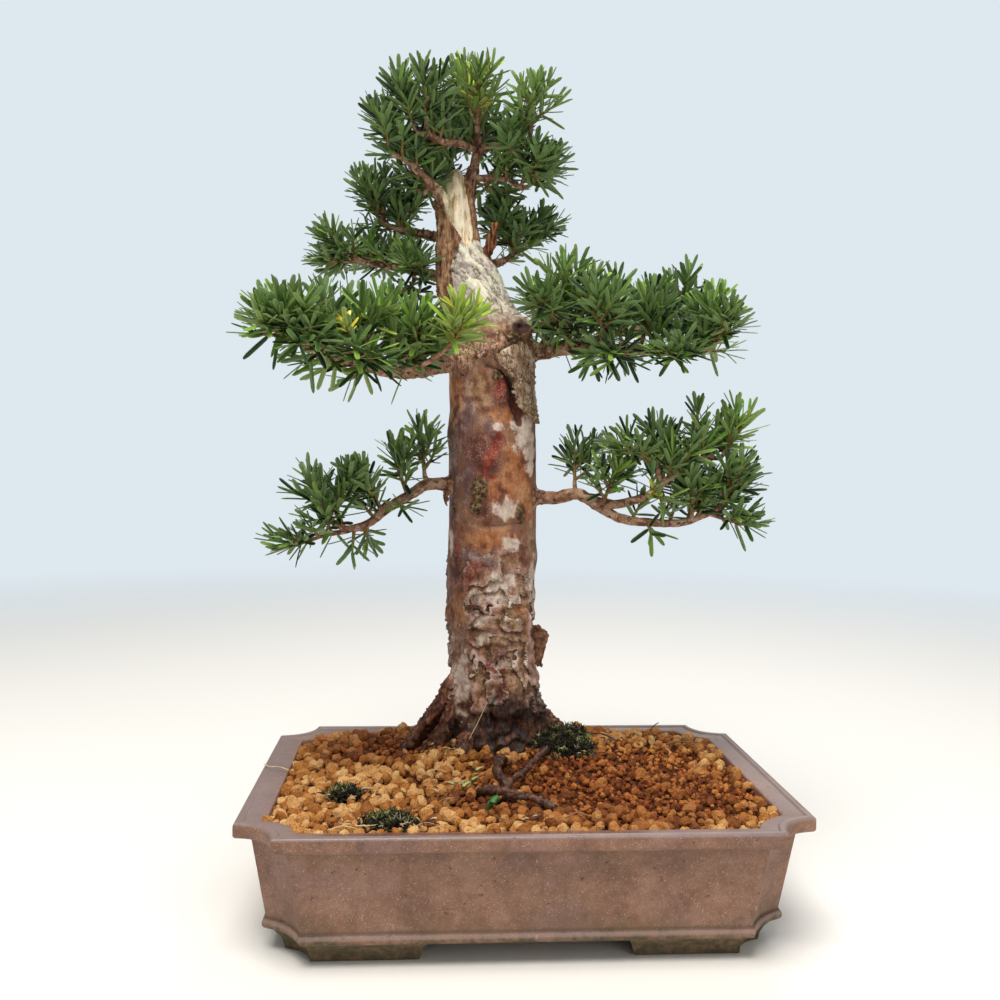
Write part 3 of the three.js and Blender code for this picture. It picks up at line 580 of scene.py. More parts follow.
def pot_profile():
    """Rows from the underside, up the outside, over the rim and down to the floor inside."""
    bead_rows = []
    for turn in range(-80, 81, 20):
        out = BEAD * math.cos(math.radians(turn))
        z = FOOT_HEIGHT + BEAD_MIDDLE + BEAD_HALF_HEIGHT * math.sin(math.radians(turn))
        bead_rows.append((z, BASE_X + out, BASE_Y + out, CORNER_SCOOP - 2 + 0.586 * out, BODY_SCOOP))
    profile = [
        (FOOT_HEIGHT, BASE_X - 14, BASE_Y - 14, CORNER_SCOOP - 2.5, BODY_SCOOP),
        (FOOT_HEIGHT, BASE_X - 1, BASE_Y - 1, CORNER_SCOOP - 2.5, BODY_SCOOP),
        *bead_rows,
        (FOOT_HEIGHT + 7.2, BASE_X, BASE_Y, CORNER_SCOOP - 2, BODY_SCOOP),
        (BODY_TOP - 0.6, BODY_X, BODY_Y, CORNER_SCOOP - 1.5, BODY_SCOOP + 1),
        (BODY_TOP, RIM_HALF_X - 1.2, RIM_HALF_Y - 1.2, CORNER_SCOOP, RIM_SCOOP),
        (BODY_TOP + 1.4, RIM_HALF_X, RIM_HALF_Y, CORNER_SCOOP, RIM_SCOOP),
        (POT_HEIGHT, RIM_HALF_X, RIM_HALF_Y, CORNER_SCOOP, RIM_SCOOP),
        (POT_HEIGHT + 0.1, RIM_HALF_X - 4.2, RIM_HALF_Y - 4.2, CORNER_SCOOP - 1, RIM_SCOOP),
        (POT_HEIGHT - 1, RIM_HALF_X - 5.2, RIM_HALF_Y - 5.2, CORNER_SCOOP - 1.5, RIM_SCOOP - 0.5),
        (POT_HEIGHT - 1.5, MOUTH_HALF_X, MOUTH_HALF_Y, CORNER_SCOOP - 4, BODY_SCOOP),
        (BODY_TOP - 6, MOUTH_HALF_X, MOUTH_HALF_Y - 3, CORNER_SCOOP - 4, BODY_SCOOP),
        (FLOOR_TOP, BASE_X - WALL, BASE_Y - WALL, CORNER_SCOOP - 4, BODY_SCOOP),
        (FLOOR_TOP, BASE_X - WALL - 6, BASE_Y - WALL - 6, CORNER_SCOOP - 4, BODY_SCOOP),
    ]
    radii = [0.6] + [0.3] * len(bead_rows) + [1.2, 1.6, 0.6, 0.8, 2.0, 1.0, 0.8, 1.5, 1.0, 1.0]
    return softened(profile, radii)


# %% [markdown]
# A foot is the same plan once more, cut down to one corner and thickened inwards. Its ends lean in towards
# the ground with a soft curve. Booleans then join the four feet to the pot and cut the two drain holes.

# %% Feet, drain holes and the finished pot
def foot_outline(row, gap_x, gap_y, wall):
    """The L-shaped plan of the foot in the first quarter: outer side out, inner side back."""
    _, half_x, half_y, cut, depth = row
    arc = plan_corner(half_x, half_y, cut, depth)
    outer = [(gap_x, half_y)] + arc + [(half_x, gap_y)]
    inner = [(half_x - wall, gap_y), (half_x - wall, half_y - wall), (gap_x, half_y - wall)]
    return outer + inner


def make_foot(sx, sy):
    foot_x = BASE_X - FOOT_INSET
    foot_y = BASE_Y - FOOT_INSET
    # Height, growth outwards, corner cut, and how far the ends reach past their place at the ground
    rows = [(0, -1.3, 8.6, -1.6), (0.25, -0.6, 8.3, -0.7), (0.9, -0.1, 8.1, 0), (2, 0.1, 8, 0.3)]
    rows += [(5, 0.8, 7.4, 0.9), (9, 2.9, 6.2, 2.4), (12, 5.4, 5.4, 4.4), (FOOT_HEIGHT + 1.4, 6.7, 5, 6)]
    rings = []
    for z, grow, cut, reach in rows:
        row = (z, foot_x + grow, foot_y + grow, CORNER_SCOOP - cut, BODY_SCOOP)
        outline = foot_outline(row, FOOT_GAP_HALF_X - reach, FOOT_GAP_HALF_Y - reach, FOOT_WALL + grow)
        ring = [(sx * x, sy * y, z) for x, y in outline]
        rings.append(ring if sx * sy < 0 else ring[::-1])
    count = len(rings[0])
    points, faces = loft(rings, close_ends=False)
    faces.append(tuple(range(count - 1, -1, -1)))
    faces.append(tuple(range(len(points) - count, len(points))))
    return new_piece("foot", points, faces)


def cut_or_join(piece, other, operation):
    """Joins another closed mesh to a piece, or cuts it out, and removes the other."""
    boolean = piece.modifiers.new("boolean", "BOOLEAN")
    boolean.operation = operation
    boolean.solver = "EXACT"
    boolean.object = other
    baked(piece)
    bpy.data.objects.remove(other)


def make_pot():
    points, faces = loft([plan_ring(row) for row in pot_profile()])
    pot = new_piece("pot_dressed", points, faces)
    for sx in (1, -1):
        for sy in (1, -1):
            cut_or_join(pot, make_foot(sx, sy), "UNION")
    for side in (1, -1):
        hole = [(side * DRAIN_X + DRAIN_RADIUS * math.cos(t), DRAIN_RADIUS * math.sin(t))
                for t in turns_of(DRAIN_SIDES)]
        rings = [[(x, y, z) for x, y in hole] for z in (FOOT_HEIGHT - 5, FLOOR_TOP + 5)]
        cut_or_join(pot, new_piece("drain", *loft(rings)), "DIFFERENCE")
    pot.data.shade_smooth()
    pot.data.set_sharp_from_angle(angle=SHARP_ANGLE)
    return pot


pot = make_pot()

# %% [markdown]
# ### Unglazed stoneware
#
# The clay fires to a purplish brown with a dry satin surface. Coarse sand in it shows as pale specks, a few
# grains have fallen out and left dark pits, and years of watering have left lime streaks, a polish on the wet
# top of the rim, and a film of green algae under the bead and on the feet. Light is painted in too: the rim's
# top is greyed as a painted reflection of the pale sky, a band under the rim is darkened by painted shade as
# well as stains, the crease above the bead holds painted shade, and the top of the bead a painted highlight.
#
# Each of these is a mask from 0 to 1 made of noise, cells or height, and the colour is mixed through them
# one after another, as the stains came.

# %% Finish of the pot
def finish_stoneware():
    material, start = new_finish("stoneware")
    place = object_place(start)
    height = place.axis("Z") / MM
    clouds = place.noise(22 * MM, detail=4)
    fine = place.noise(1.6 * MM, detail=3, roughness=0.65)
    mottle = place.noise(4.5 * MM, detail=4, roughness=0.6)
    clay = ramp(clouds * 0.5 + mottle * 0.3 + fine * 0.2, (0.36, "674736"), (0.5, "805a45"),
                (0.64, "967059"))
    violet = (place.noise(34 * MM, detail=3) + (mottle - 0.5) * 0.5).between(0.48, 0.7)
    clay = mix(violet * 0.3, clay, "866669")
    earthy = (place.noise(40 * MM, detail=3) + (mottle - 0.5) * 0.5).between(0.52, 0.7)
    clay = mix(earthy * 0.2, clay, "6a5137")
    specks = place.cells(1.7 * MM).between(0.17, 0.08) * place.noise(5 * MM).between(0.4, 0.56)
    dust = place.cells(0.85 * MM).between(0.3, 0.15) * place.noise(2.4 * MM).between(0.44, 0.58)
    colour = mix(specks * 0.7 + dust * 0.5, clay, "dccbb8")
    pits = (place * (0.7, 0.7, 1.0)).noise(2.6 * MM, detail=2).between(0.7, 0.76)
    colour = mix(pits * 0.7, colour, "3a2a20")
    streaks = (place * (1.0, 1.0, 0.16)).noise(2.2 * MM, detail=1).between(0.73, 0.8)
    streaks = streaks * place.noise(30 * MM).between(0.5, 0.62)
    colour = mix(streaks * 0.4, colour, "d9cfbd")
    # Painted reflection: the flat top of the rim is greyed as if it mirrored the pale sky. Its lower
    # roughness below is a real polish.
    rim_top = height.between(POT_HEIGHT - 2.1, POT_HEIGHT - 1.0)
    colour = mix(rim_top * 0.5, colour, "8d807e")
    across, depth = place.axis("X") / MM, place.axis("Y") / MM + (mottle - 0.5) * 5
    watered = depth.between(-109.5, -108) * depth.between(-100, -102) * across.between(-122, -110)
    watered = watered * across.between(70, 54) * rim_top
    colour = mix(watered * 0.75, colour, "6b3a28")
    # Painted shade, partly staining: the wall is darkened in a band under the overhang of the rim.
    rim_shade = height.between(BODY_TOP - 9, BODY_TOP) * height.between(BODY_TOP + 1.2, BODY_TOP)
    colour = mix(rim_shade * 0.28, colour, "57402c")
    ragged = height + (clouds - 0.5) * 20 + (mottle - 0.5) * 14
    algae = ragged.between(20, 12) * (0.55 + place.noise(8 * MM, detail=3) * 0.7)
    low_wash = ragged.between(34, 20) * 0.3
    colour = mix(low_wash, colour, "6b5636")
    green = ramp(mottle, (0.38, "33331b"), (0.5, "4a4327"), (0.62, "6b5238"))
    colour = mix(algae.math("MINIMUM", 0.8), colour, green)
    bead = height - FOOT_HEIGHT
    # Painted highlight: the upper part of the bead is lightened as if lit from above.
    bead_highlight = bead.between(3.4, 4.8) * bead.between(6.6, 5.8)
    colour = mix(bead_highlight * 0.4, colour, "a48c84")
    # Painted shade in the crease where the wall meets the top of the bead.
    crease = bead.between(6.2, 6.8) * bead.between(9.0, 7.2)
    colour = mix(crease * 0.45, colour, "46382a")
    scum = place.noise(3 * MM, detail=3).between(0.55, 0.75) * rim_shade
    colour = mix(scum * 0.3, colour, "6d6136")
    roughness = 0.5 + fine * 0.16 - rim_top * 0.2 + algae * 0.12 - watered * 0.12
    relief = fine * 0.6 + specks * 0.5 - pits * 2.2 + place.noise(6 * MM, detail=2) * 0.7
    shade(start, colour, roughness, bump(relief, 0.22 * MM))
    return material


pot.data.materials.append(finish_stoneware())
ship(pot, "stoneware", "pot")

# %% [markdown]
# The drain holes are covered from inside by squares of plastic netting. The solids already have that shape,
# so they stay, and only get the dull black of moulded netting that has lain in wet clay.

# %% Finish of the netting over the drain holes
def finish_netting():
    material, start = new_finish("netting")
    place = object_place(start)
    dust = place.noise(4 * MM, detail=3)
    colour = mix(dust.between(0.5, 0.8) * 0.6, "1f2225", "6b4a30")
    shade(start, colour, 0.45 + dust * 0.3, bump(place.noise(0.8 * MM), 0.1 * MM))
    return material


netting = finish_netting()
for side in ("left", "right"):
    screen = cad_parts["drain_screen_" + side]
    screen.data.materials.clear()
    screen.data.materials.append(netting)

# %% [markdown]
# ## The soil
#
# The tree stands in sieved grains of baked clay. They are tan where they have dried and rust-brown where
# they are still wet. A wide patch of much finer, darker grains lies at the right, and coarse, pale ones lie
# at the left.
#
# A dark bed fills the pot. A geometry recipe then scatters grains over its top: points at least a set
# distance apart, a faceted ball on each, turned and stretched at random, and noise that dents every ball in
# its own way. Grains share one simple shape, which keeps some two thousand of them cheap.

# %% The bed of soil
SOIL_LEVEL = 78
SOIL_MOUND = 13
MOUND_X = -10
MOUND_REACH_X = 85
MOUND_REACH_Y = 75
SIDE_DIP = 1.5
BED_DEPTH = 3.2
BED_PLAY = 0.4
BED_STEPS = 36
TRUNK_Y = 50
# The most grains and the most sprigs of moss on a square metre
GRAIN_CROWD = 90000.0
SPRIG_CROWD = 900000.0


def soil_height(x, y):
    """Soil surface without its grains: mounded round the trunk, and a little lower at both ends."""
    from_trunk = ((x - MOUND_X) / MOUND_REACH_X) ** 2 + ((y - TRUNK_Y) / MOUND_REACH_Y) ** 2
    return SOIL_LEVEL + SOIL_MOUND * math.exp(-from_trunk) - SIDE_DIP * (x / MOUTH_HALF_X) ** 2


def bed_rings():
    """Rings of the bed's top, from the mouth of the pot inwards."""
    sizes = np.array((MOUTH_HALF_X - BED_PLAY, MOUTH_HALF_Y - BED_PLAY, CORNER_SCOOP - 4, BODY_SCOOP))
    rings = []
    for step in range(BED_STEPS):
        ring = plan_ring((0, *sizes * (1 - step / BED_STEPS)))
        rings.append([(x, y, soil_height(x, y) - BED_DEPTH) for x, y, _ in ring])
    return rings


def make_bed():
    wall_rows = [
        (FLOOR_TOP + 0.3, BASE_X - WALL - BED_PLAY, BASE_Y - WALL - BED_PLAY, CORNER_SCOOP - 4, BODY_SCOOP),
        (BODY_TOP - 6, MOUTH_HALF_X - BED_PLAY, MOUTH_HALF_Y - 3 - BED_PLAY, CORNER_SCOOP - 4, BODY_SCOOP),
    ]
    points, faces = loft([plan_ring(row) for row in wall_rows] + bed_rings())
    bed = new_piece("soil_bed", points, faces)
    bed.data.shade_smooth()
    return bed


def reach_of(places, patches):
    """How far each place is from the nearest of some round patches: 0 in its middle and 1 at its edge.
    A patch is a centre and a half size along each axis, in millimetres."""
    reaches = [np.linalg.norm((places[:, : len(centre)] - centre) / half, axis=1) for centre, half in patches]
    return np.min(reaches, axis=0)


FINE_PATCHES = [((66, -22), (84, 56)), ((-96, 46), (34, 20)), ((96, 40), (44, 24))]
WET_PATCHES = [((58, -28), (88, 60)), ((-92, 44), (48, 30)), ((-14, -52), (40, 30)), ((60, -84), (60, 14)),
               ((-104, 74), (50, 24))]


def make_bed_top():
    """The top of the bed alone, with the share of fine and of wet grains at each point."""
    points, faces = loft(bed_rings())
    top = new_piece("bed_top", points, [f for f in faces if len(f) == 4])
    places = places_of(top)
    fine = np.clip(1.5 - reach_of(places, FINE_PATCHES), 0, 1)
    set_values(top, "fine", fine)
    set_values(top, "coarse", np.clip(1.25 - 1.5 * fine, 0.06, 1))
    set_values(top, "wet", np.clip(1.5 - reach_of(places, WET_PATCHES), 0, 1))
    return top


# %% A recipe that scatters dented grains
def grain_recipe(material, kind, sizes):
    """Grains over a surface, as many at each point as its share of that kind."""
    tree, size = new_recipe("grains_" + kind, sizes)
    top = size["Geometry"]
    dots = scattered(top, size["Closest"], GRAIN_CROWD, size["Seed"], read(top, kind))
    dots = store(dots, "tone", chance(dots, 0.0, 1.0, 3))
    dots = moved(dots, dots.point(0.0, 0.0, chance(dots, -0.35, 1.0, 4) * size["Lift"]))
    ball = dots.node("GeometryNodeMeshIcoSphere", inputs={"Radius": 0.5, "Subdivisions": size["Rounds"]})
    turn = chance(dots, (0.0, 0.0, 0.0), (6.28, 6.28, 6.28), 5)
    stretch = chance(dots, (0.8, 0.72, 0.62), (1.25, 1.15, 1.0), 6)
    scale = stretch * (chance(dots, 0.66, 1.32, 7) * size["Grain size"])
    real = copies_on(dots, ball, turn, scale)
    place = real.node("GeometryNodeInputPosition")
    pattern = {"Vector": place, "Scale": 2.1 / size["Grain size"], "Detail": 2.5, "Roughness": 0.6}
    dents = real.node("ShaderNodeTexNoise", inputs=pattern, output=1) - (0.5, 0.5, 0.5)
    end_recipe(moved(real, dents * size["Dent"]), material)
    return tree


# %% [markdown]
# ### Baked clay
#
# A grain is dull and full of pores, so its light comes only from colour. Each carries a random tone, drawn
# when it was scattered, which picks its tan, ochre or rust, and the wetness of the bed below it darkens
# that tone.

# %% Finish of the grains and the bed
def finish_clay(name, dark, middle, light):
    material, start = new_finish(name)
    place = object_place(start)
    tone = attribute(start, "tone")
    wet = (attribute(start, "wet") + (place.noise(14 * MM, detail=2) - 0.5) * 1.1).between(0.2, 0.85)
    pores = place.noise(0.9 * MM, detail=4, roughness=0.7)
    blotch = place.noise(3.2 * MM, detail=3)
    shift = tone * 0.72 + blotch * 0.34 - wet * 0.24 + (pores - 0.5) * 0.6
    colour = ramp(shift, (0.02, dark), (0.42, middle), (0.86, light))
    colour = mix(wet * 0.5, colour, ramp(tone, (0.1, "5c2c14"), (0.8, "a05a2a")))
    colour = mix(pores.between(0.44, 0.34) * 0.75, colour, "3d1e0e")
    colour = mix(pores.between(0.6, 0.72) * 0.4, colour, "e3bd82")
    relief = pores * 1.2 + place.cells(1.3 * MM) * 0.6
    shade(start, colour, 0.92 - wet * 0.2, bump(relief, 0.7 * MM), Specular_IOR_Level=0.18)
    return material


def finish_bed():
    material, start = new_finish("soil_bed")
    place = object_place(start)
    crumbs = place.noise(1.8 * MM, detail=4)
    colour = ramp(crumbs, (0.36, "1c0e07"), (0.5, "4a2511"), (0.66, "7d4620"))
    shade(start, colour, 0.9, bump(crumbs, 1.2 * MM), Specular_IOR_Level=0.1)
    return material


bed = make_bed()
bed.data.materials.append(finish_bed())
ship(bed, "clay_grains", "soil")

# The finish with its dark, middle and light tone, then the sizes of the grains
GRAINS = {
    "coarse": (("clay_grains", "7d4522", "bb7a3b", "e4b375"),
               {"Grain size": 7.2 * MM, "Closest": 4.3 * MM, "Rounds": 2, "Dent": 4.2 * MM,
                "Lift": 3.4 * MM, "Seed": 11}),
    "fine": (("clay_fines", "763a1a", "b2642d", "de9a52"),
             {"Grain size": 3.9 * MM, "Closest": 2.0 * MM, "Rounds": 1, "Dent": 2.2 * MM,
              "Lift": 3.0 * MM, "Seed": 23}),
}
for kind, (finish, sizes) in GRAINS.items():
    grains = run_recipe(make_bed_top(), grain_recipe(finish_clay(*finish), kind, sizes), sizes)
    grains.name = "grains_" + kind
    ship(grains, "clay_grains")

# %% [markdown]
# ## The trunk
#
# The trunk is a straight column some 60 mm thick that was cut back long ago. Above the cut it tapers over a
# grey, healed scar into a splinter of bare wood, and living bark still runs up both sides of the splinter
# to feed the crown. Roots spread from its foot, and a few have come to the surface in front of it.
#
# A tree grows as one skin over all of this, so the trunk is built as closed tubes and lofts that overlap
# freely and are then skinned by a voxel remesh. Crotches and root necks come out rounded by themselves, and
# the even mesh is what a fine relief needs.

# %% The trunk's line, its roots and the live bark beside the bare wood, in millimetres
# Height, centre in x, half width in x, half width in y
TRUNK_SECTIONS = [
    (58, -11, 30, 27), (74, -10, 35, 32), (88, -9, 33, 32), (103, -9, 30.5, 30), (125, -11, 30.5, 30),
    (150, -14, 30, 29), (185, -15.5, 30, 29), (255, -16, 29.5, 29), (323, -16, 29.5, 29), (351, -17, 30, 29),
    (373, -19, 29, 27), (386, -26, 25.5, 23), (398, -30.5, 23, 20), (412, -34, 20, 17.5),
    (421, -37.5, 15.5, 15), (430, -40, 12.3, 13), (447, -43.7, 11.6, 11), (463, -45.3, 9.6, 9),
    (472, -44.5, 6.5, 6.5), (479, -43, 2.4, 3),
]
# Points, start radius, end radius
ROOTS = [
    ([(-26, 48, 140), (-38, 47, 126), (-47, 46, 111), (-57, 48, 97), (-67, 48, 85), (-76, 46, 72)], 9.6, 7),
    ([(-34, 41, 146), (-45, 40, 128), (-52, 38, 113), (-62, 39, 98), (-72, 40, 84), (-77, 39, 74)], 3.4, 3),
    ([(-33, 38, 128), (-42, 34, 111), (-48, 31, 96), (-54, 29, 78)], 5.2, 4.4),
    ([(-40, 36, 118), (-50, 33, 100), (-60, 33, 87), (-66, 32, 74)], 2.6, 2.4),
    ([(-24, 34, 106), (-31, 25, 96), (-35, 19, 86), (-38, 14, 76)], 7, 4.5),
    ([(8, 44, 128), (17, 40, 112), (24, 38, 100), (32, 34, 88), (42, 30, 76)], 6, 3.6),
    ([(6, 46, 116), (18, 44, 106), (29, 42, 97), (40, 40, 88), (52, 38, 76)], 8, 5),
    ([(-20, 60, 120), (-26, 74, 104), (-34, 82, 90), (-42, 85, 74)], 8.5, 5),
    ([(2, 62, 114), (12, 74, 98), (24, 82, 84), (30, 84, 72)], 8, 5),
]
SURFACE_ROOTS = [
    ([(12, 30, 80), (20, 14, 90), (12, -8, 91), (2, -26, 88), (-8, -42, 86), (-14, -52, 77)], 2.4, 1.8),
    ([(-6, 26, 78), (-8, 6, 86), (-12, -10, 91), (-15, -26, 89), (-11, -42, 86), (-8, -52, 78)], 2.9, 2.2),
    ([(-24, -34, 73), (-26, -45, 82), (-19, -53, 85.5), (-4, -60, 84.5), (10, -67, 83), (22, -73, 76)],
     3, 1.9),
]
LIVE_BARK = [
    ([(-46, 42, 380), (-50, 41, 398), (-52, 41, 416), (-52, 43, 432), (-53, 45, 446), (-56, 41, 456)],
     6.5, 3),
    ([(-27, 45, 412), (-29, 44, 428), (-31, 44, 442), (-33, 45, 458), (-36, 46, 470)], 3.6, 1.5),
    ([(-36, 60, 396), (-38, 58, 420), (-38, 55, 440), (-37, 54, 458)], 7, 4),
]
DEAD_STUB = ([(-30, 50, 402), (-23, 49, 418), (-19, 47, 432), (-16, 46, 443)], 4.6, 2.3)
STUMPS = [
    ([(-4, 44, 366), (0, 33, 370), (2, 27, 372)], 9, 7.5),
    ([(-22, 40, 258), (-25, 27, 259), (-26, 22.5, 258)], 9, 6),
]


# %% The limbs, in millimetres
LIMBS = {
    "left_upper": ([(-28, 48, 348), (-43, 28, 347), (-70, -6, 337), (-90, -34, 336), (-110, -52, 340),
                    (-128, -64, 345), (-142, -68, 352)], 6.2, 2),
    "right_upper": ([(-4, 50, 355), (13, 44, 356), (41, 24, 357), (85, 8, 355), (112, 2, 354),
                     (122, -4, 356)], 5.2, 2),
    "right_shoulder": ([(-6, 50, 372), (10, 42, 374), (17, 26, 372), (22, 10, 374)], 3.4, 1.8),
    "right_back": ([(14, 44, 357), (44, 44, 364), (72, 52, 372), (100, 56, 376), (118, 54, 378)], 3.4, 1.8),
    "left_lower": ([(-34, 50, 265), (-47, 44, 265), (-60, 36, 265), (-72, 26, 258), (-87, 15, 249),
                    (-98, 7, 240), (-111, 0, 237), (-122, -2, 243)], 4.6, 1.8),
    "left_lower_tip": ([(-100, 5, 239), (-114, 0, 235), (-123, -3, 234)], 1.9, 1.5),
    "right_lower": ([(0, 50, 257), (15, 43, 257), (26, 33, 257), (40, 22, 260), (52, 12, 253),
                     (66, 5, 245), (84, 0, 243), (105, 0, 243), (124, 4, 249)], 5, 2),
    "right_lower_fork": ([(48, 15, 256), (61, 7, 254), (73, 1, 257), (82, -5, 261), (92, -8, 270),
                          (104, -8, 278), (120, -5, 286)], 3.4, 1.7),
    "right_lower_riser": ([(96, -8, 272), (101, -8, 281), (110, -6, 293), (117, -3, 301)], 2, 1.6),
    "right_lower_twig": ([(84, -6, 262), (88, -7, 271), (86, -8, 282)], 1.9, 1.5),
    "apex_left": ([(-46, 46, 446), (-55, 36, 459), (-70, 27, 472), (-80, 23, 479)], 3.4, 2),
    "apex_leader": ([(-38, 54, 450), (-33, 54, 474), (-29, 50, 494), (-30, 42, 507)], 4.2, 2.4),
    "apex_cross_left": ([(-28, 50, 492), (-40, 37, 492), (-52, 26, 490), (-62, 20, 492)], 2.6, 1.8),
    "apex_cross_right": ([(-29, 50, 492), (-18, 38, 492), (-6, 28, 486), (2, 24, 490)], 2.8, 1.8),
    "apex_low_right": ([(-33, 54, 474), (-20, 48, 474), (-8, 38, 470)], 2.4, 1.6),
    "apex_back": ([(-30, 48, 496), (-32, 66, 503), (-34, 80, 508)], 2.8, 1.8),
    "back_left_high": ([(-46, 52, 432), (-66, 58, 437), (-82, 61, 440), (-94, 60, 444)], 2.8, 1.7),
    "back_left_low": ([(-42, 54, 402), (-64, 61, 411), (-86, 62, 414), (-108, 55, 417)], 3, 1.8),
    "back_right": ([(-28, 56, 416), (-12, 70, 421), (-3, 77, 427), (2, 80, 433)], 2.8, 1.6),
}
FROM_TRUNK = ["left_upper", "right_upper", "right_shoulder", "left_lower", "right_lower", "apex_left",
              "apex_leader", "back_left_high", "back_left_low", "back_right"]
# How far a limb's swollen foot reaches along it, counted in the gaps between its points
COLLAR_REACH = 1.4
# How finely the column, the roots and the collars are cut before the skin is cast over them
COLUMN_SIDES = 60
COLUMN_STEPS = 130
TUBE_SIDES = 14
TUBE_STEP = 3
# The size of the cells that the skin is cast from
SKIN_DETAIL = 1.22


# %% The skin of the trunk
def broad_relief(turn, z):
    """The slow swellings of the trunk, as a push outwards in millimetres."""
    broad = math.sin(3 * turn + z / 31) + 0.8 * math.sin(2 * turn - z / 47 + 1)
    ripple = math.sin(5 * turn + 2.2 * math.sin(z / 13)) * math.sin(z / 7.5 + 2 * turn)
    flutes = 0 if z < 80 else max(0, 1 - (z - 80) / 60) * 1.6 * math.sin(4 * turn + 0.6)
    return 0.8 * broad + 0.45 * ripple + flutes


def make_column():
    line = [(x, 0, z) for z, x, _, _ in TRUNK_SECTIONS]
    widths = [(half_x, half_y, z) for z, _, half_x, half_y in TRUNK_SECTIONS]
    rings = []
    for s in range(COLUMN_STEPS + 1):
        centre = smooth_point(line, s / COLUMN_STEPS)
        half = smooth_point(widths, s / COLUMN_STEPS)
        ring = []
        for turn in turns_of(COLUMN_SIDES):
            push = min(1, half.x / 25) * broad_relief(turn, centre.z)
            ring.append((centre.x + (half.x + push) * math.cos(turn),
                         TRUNK_Y + (half.y + push) * math.sin(turn), centre.z))
        rings.append(ring)
    return new_piece("column", *loft(rings))


def limb_collar(name):
    """The first stretch of a limb, swollen where it leaves the trunk."""
    points, start, _ = LIMBS[name]
    reach = COLLAR_REACH / (len(points) - 1)
    line = [tuple(smooth_point(points, reach * i / 4)) for i in range(5)]
    return new_piece("collar", *tube(line, start * 1.5, start * 0.98, TUBE_SIDES, TUBE_STEP))


def make_trunk_skin():
    parts = [make_column()]
    for points, start, end in ROOTS + SURFACE_ROOTS + LIVE_BARK + STUMPS + [DEAD_STUB]:
        parts.append(new_piece("root", *tube(points, start, end, TUBE_SIDES, TUBE_STEP)))
    for name in FROM_TRUNK:
        parts.append(limb_collar(name))
    trunk = merged(parts, "trunk")
    skin = trunk.modifiers.new("skin", "REMESH")
    skin.mode = "VOXEL"
    skin.voxel_size = SKIN_DETAIL * MM
    relax = trunk.modifiers.new("relax", "SMOOTH")
    relax.factor = 0.5
    relax.iterations = 3
    return baked(trunk)


# %% [markdown]
# ### Loose plates of bark
#
# Four plates have come away from the trunk. A long flap hangs from the right shoulder and hides a dark
# hollow behind its left edge, a smaller plate curls out at the lower right, and two flakes stand off the
# left edge. Each is a thin closed sheet between two edges, bowed outwards and with a ragged rim.

# %% Plates of bark that have come loose
# Points down the left edge, points down the right edge, and how far the middle bows out
LOOSE_PLATES = {
    "shoulder_flap": (
        [(-17, 18, 352), (-14, 16.5, 345), (-9, 16.5, 340), (-5, 17, 335), (-4.5, 18.5, 328), (-2.5, 20, 321),
         (1.5, 23.5, 316), (6, 29, 312), (12, 39, 307)],
        [(0, 23, 362), (7, 28, 357), (11, 36, 348), (11.5, 40, 338), (11.5, 41, 330), (13, 43, 322),
         (14.5, 45, 314), (14, 46, 308)],
        (1.5, -3.0, 0)),
    "low_curl": (
        [(12, 38, 169), (13.5, 39, 160), (14, 39, 152), (15, 38, 142)],
        [(15.5, 34, 170), (23, 30, 163.5), (19.5, 30, 153), (17.8, 33, 141)],
        (1.6, -1.8, 0)),
    "left_flake": (
        [(-46, 36, 266), (-46.5, 37, 260), (-46, 37, 254)],
        [(-43, 31, 267), (-49, 34, 258), (-47, 33, 251)],
        (-1, -1, 0)),
    "low_left_flake": (
        [(-43, 33, 188), (-44, 34, 181), (-43, 34, 175)],
        [(-42, 29, 188), (-47, 33, 180), (-45, 31, 172)],
        (-1, -1, 0)),
}
PLATE_THICKNESS = 1.5
PLATE_STEP = 1.4
PLATE_COLUMNS = 12


def make_plate(name, left, right, bow):
    """A plate between two edges: an outer and an inner sheet, joined all round the rim."""
    rows, columns = max(8, round(length_of(left) / PLATE_STEP)), PLATE_COLUMNS
    ragged = random.Random(name)
    half = PLATE_THICKNESS / 2
    outward = Vector(bow).normalized()
    sheets = ([], [])
    for r in range(rows + 1):
        share = r / rows
        a = smooth_point(left, share) + Vector((ragged.uniform(-0.8, 0.8), 0, ragged.uniform(-0.5, 0.5)))
        b = smooth_point(right, share) + Vector((ragged.uniform(-0.6, 0.6), 0, ragged.uniform(-0.5, 0.5)))
        for c in range(columns + 1):
            across = c / columns
            arch = math.sin(math.pi * across)
            middle = a.lerp(b, across) + Vector(bow) * arch
            thick = half * (0.35 + 0.65 * arch) * (0.5 if r in (0, rows) else 1)
            sheets[0].append(middle + outward * thick)
            sheets[1].append(middle - outward * thick)
    width = columns + 1
    below = len(sheets[0])
    faces = []
    for r in range(rows):
        for c in range(columns):
            a = r * width + c
            faces.append((a, a + width, a + width + 1, a + 1))
            faces.append((below + a, below + a + 1, below + a + width + 1, below + a + width))
    for r in range(rows):
        for a, b in ((r * width, (r + 1) * width), ((r + 1) * width + columns, r * width + columns)):
            faces.append((a, below + a, below + b, b))
    for c in range(columns):
        for a, b in ((c + 1, c), (rows * width + c, rows * width + c + 1)):
            faces.append((a, below + a, below + b, b))
    plate = new_piece(name, sheets[0] + sheets[1], faces)
    set_values(plate, "loose", [1.0] * (2 * below))
    face_outward(plate)
    return plate


def face_outward(piece):
    """Turns all faces of a closed mesh outwards."""
    shape = bmesh.new()
    shape.from_mesh(piece.data)
    bmesh.ops.recalc_face_normals(shape, faces=shape.faces)
    shape.to_mesh(piece.data)
    shape.free()
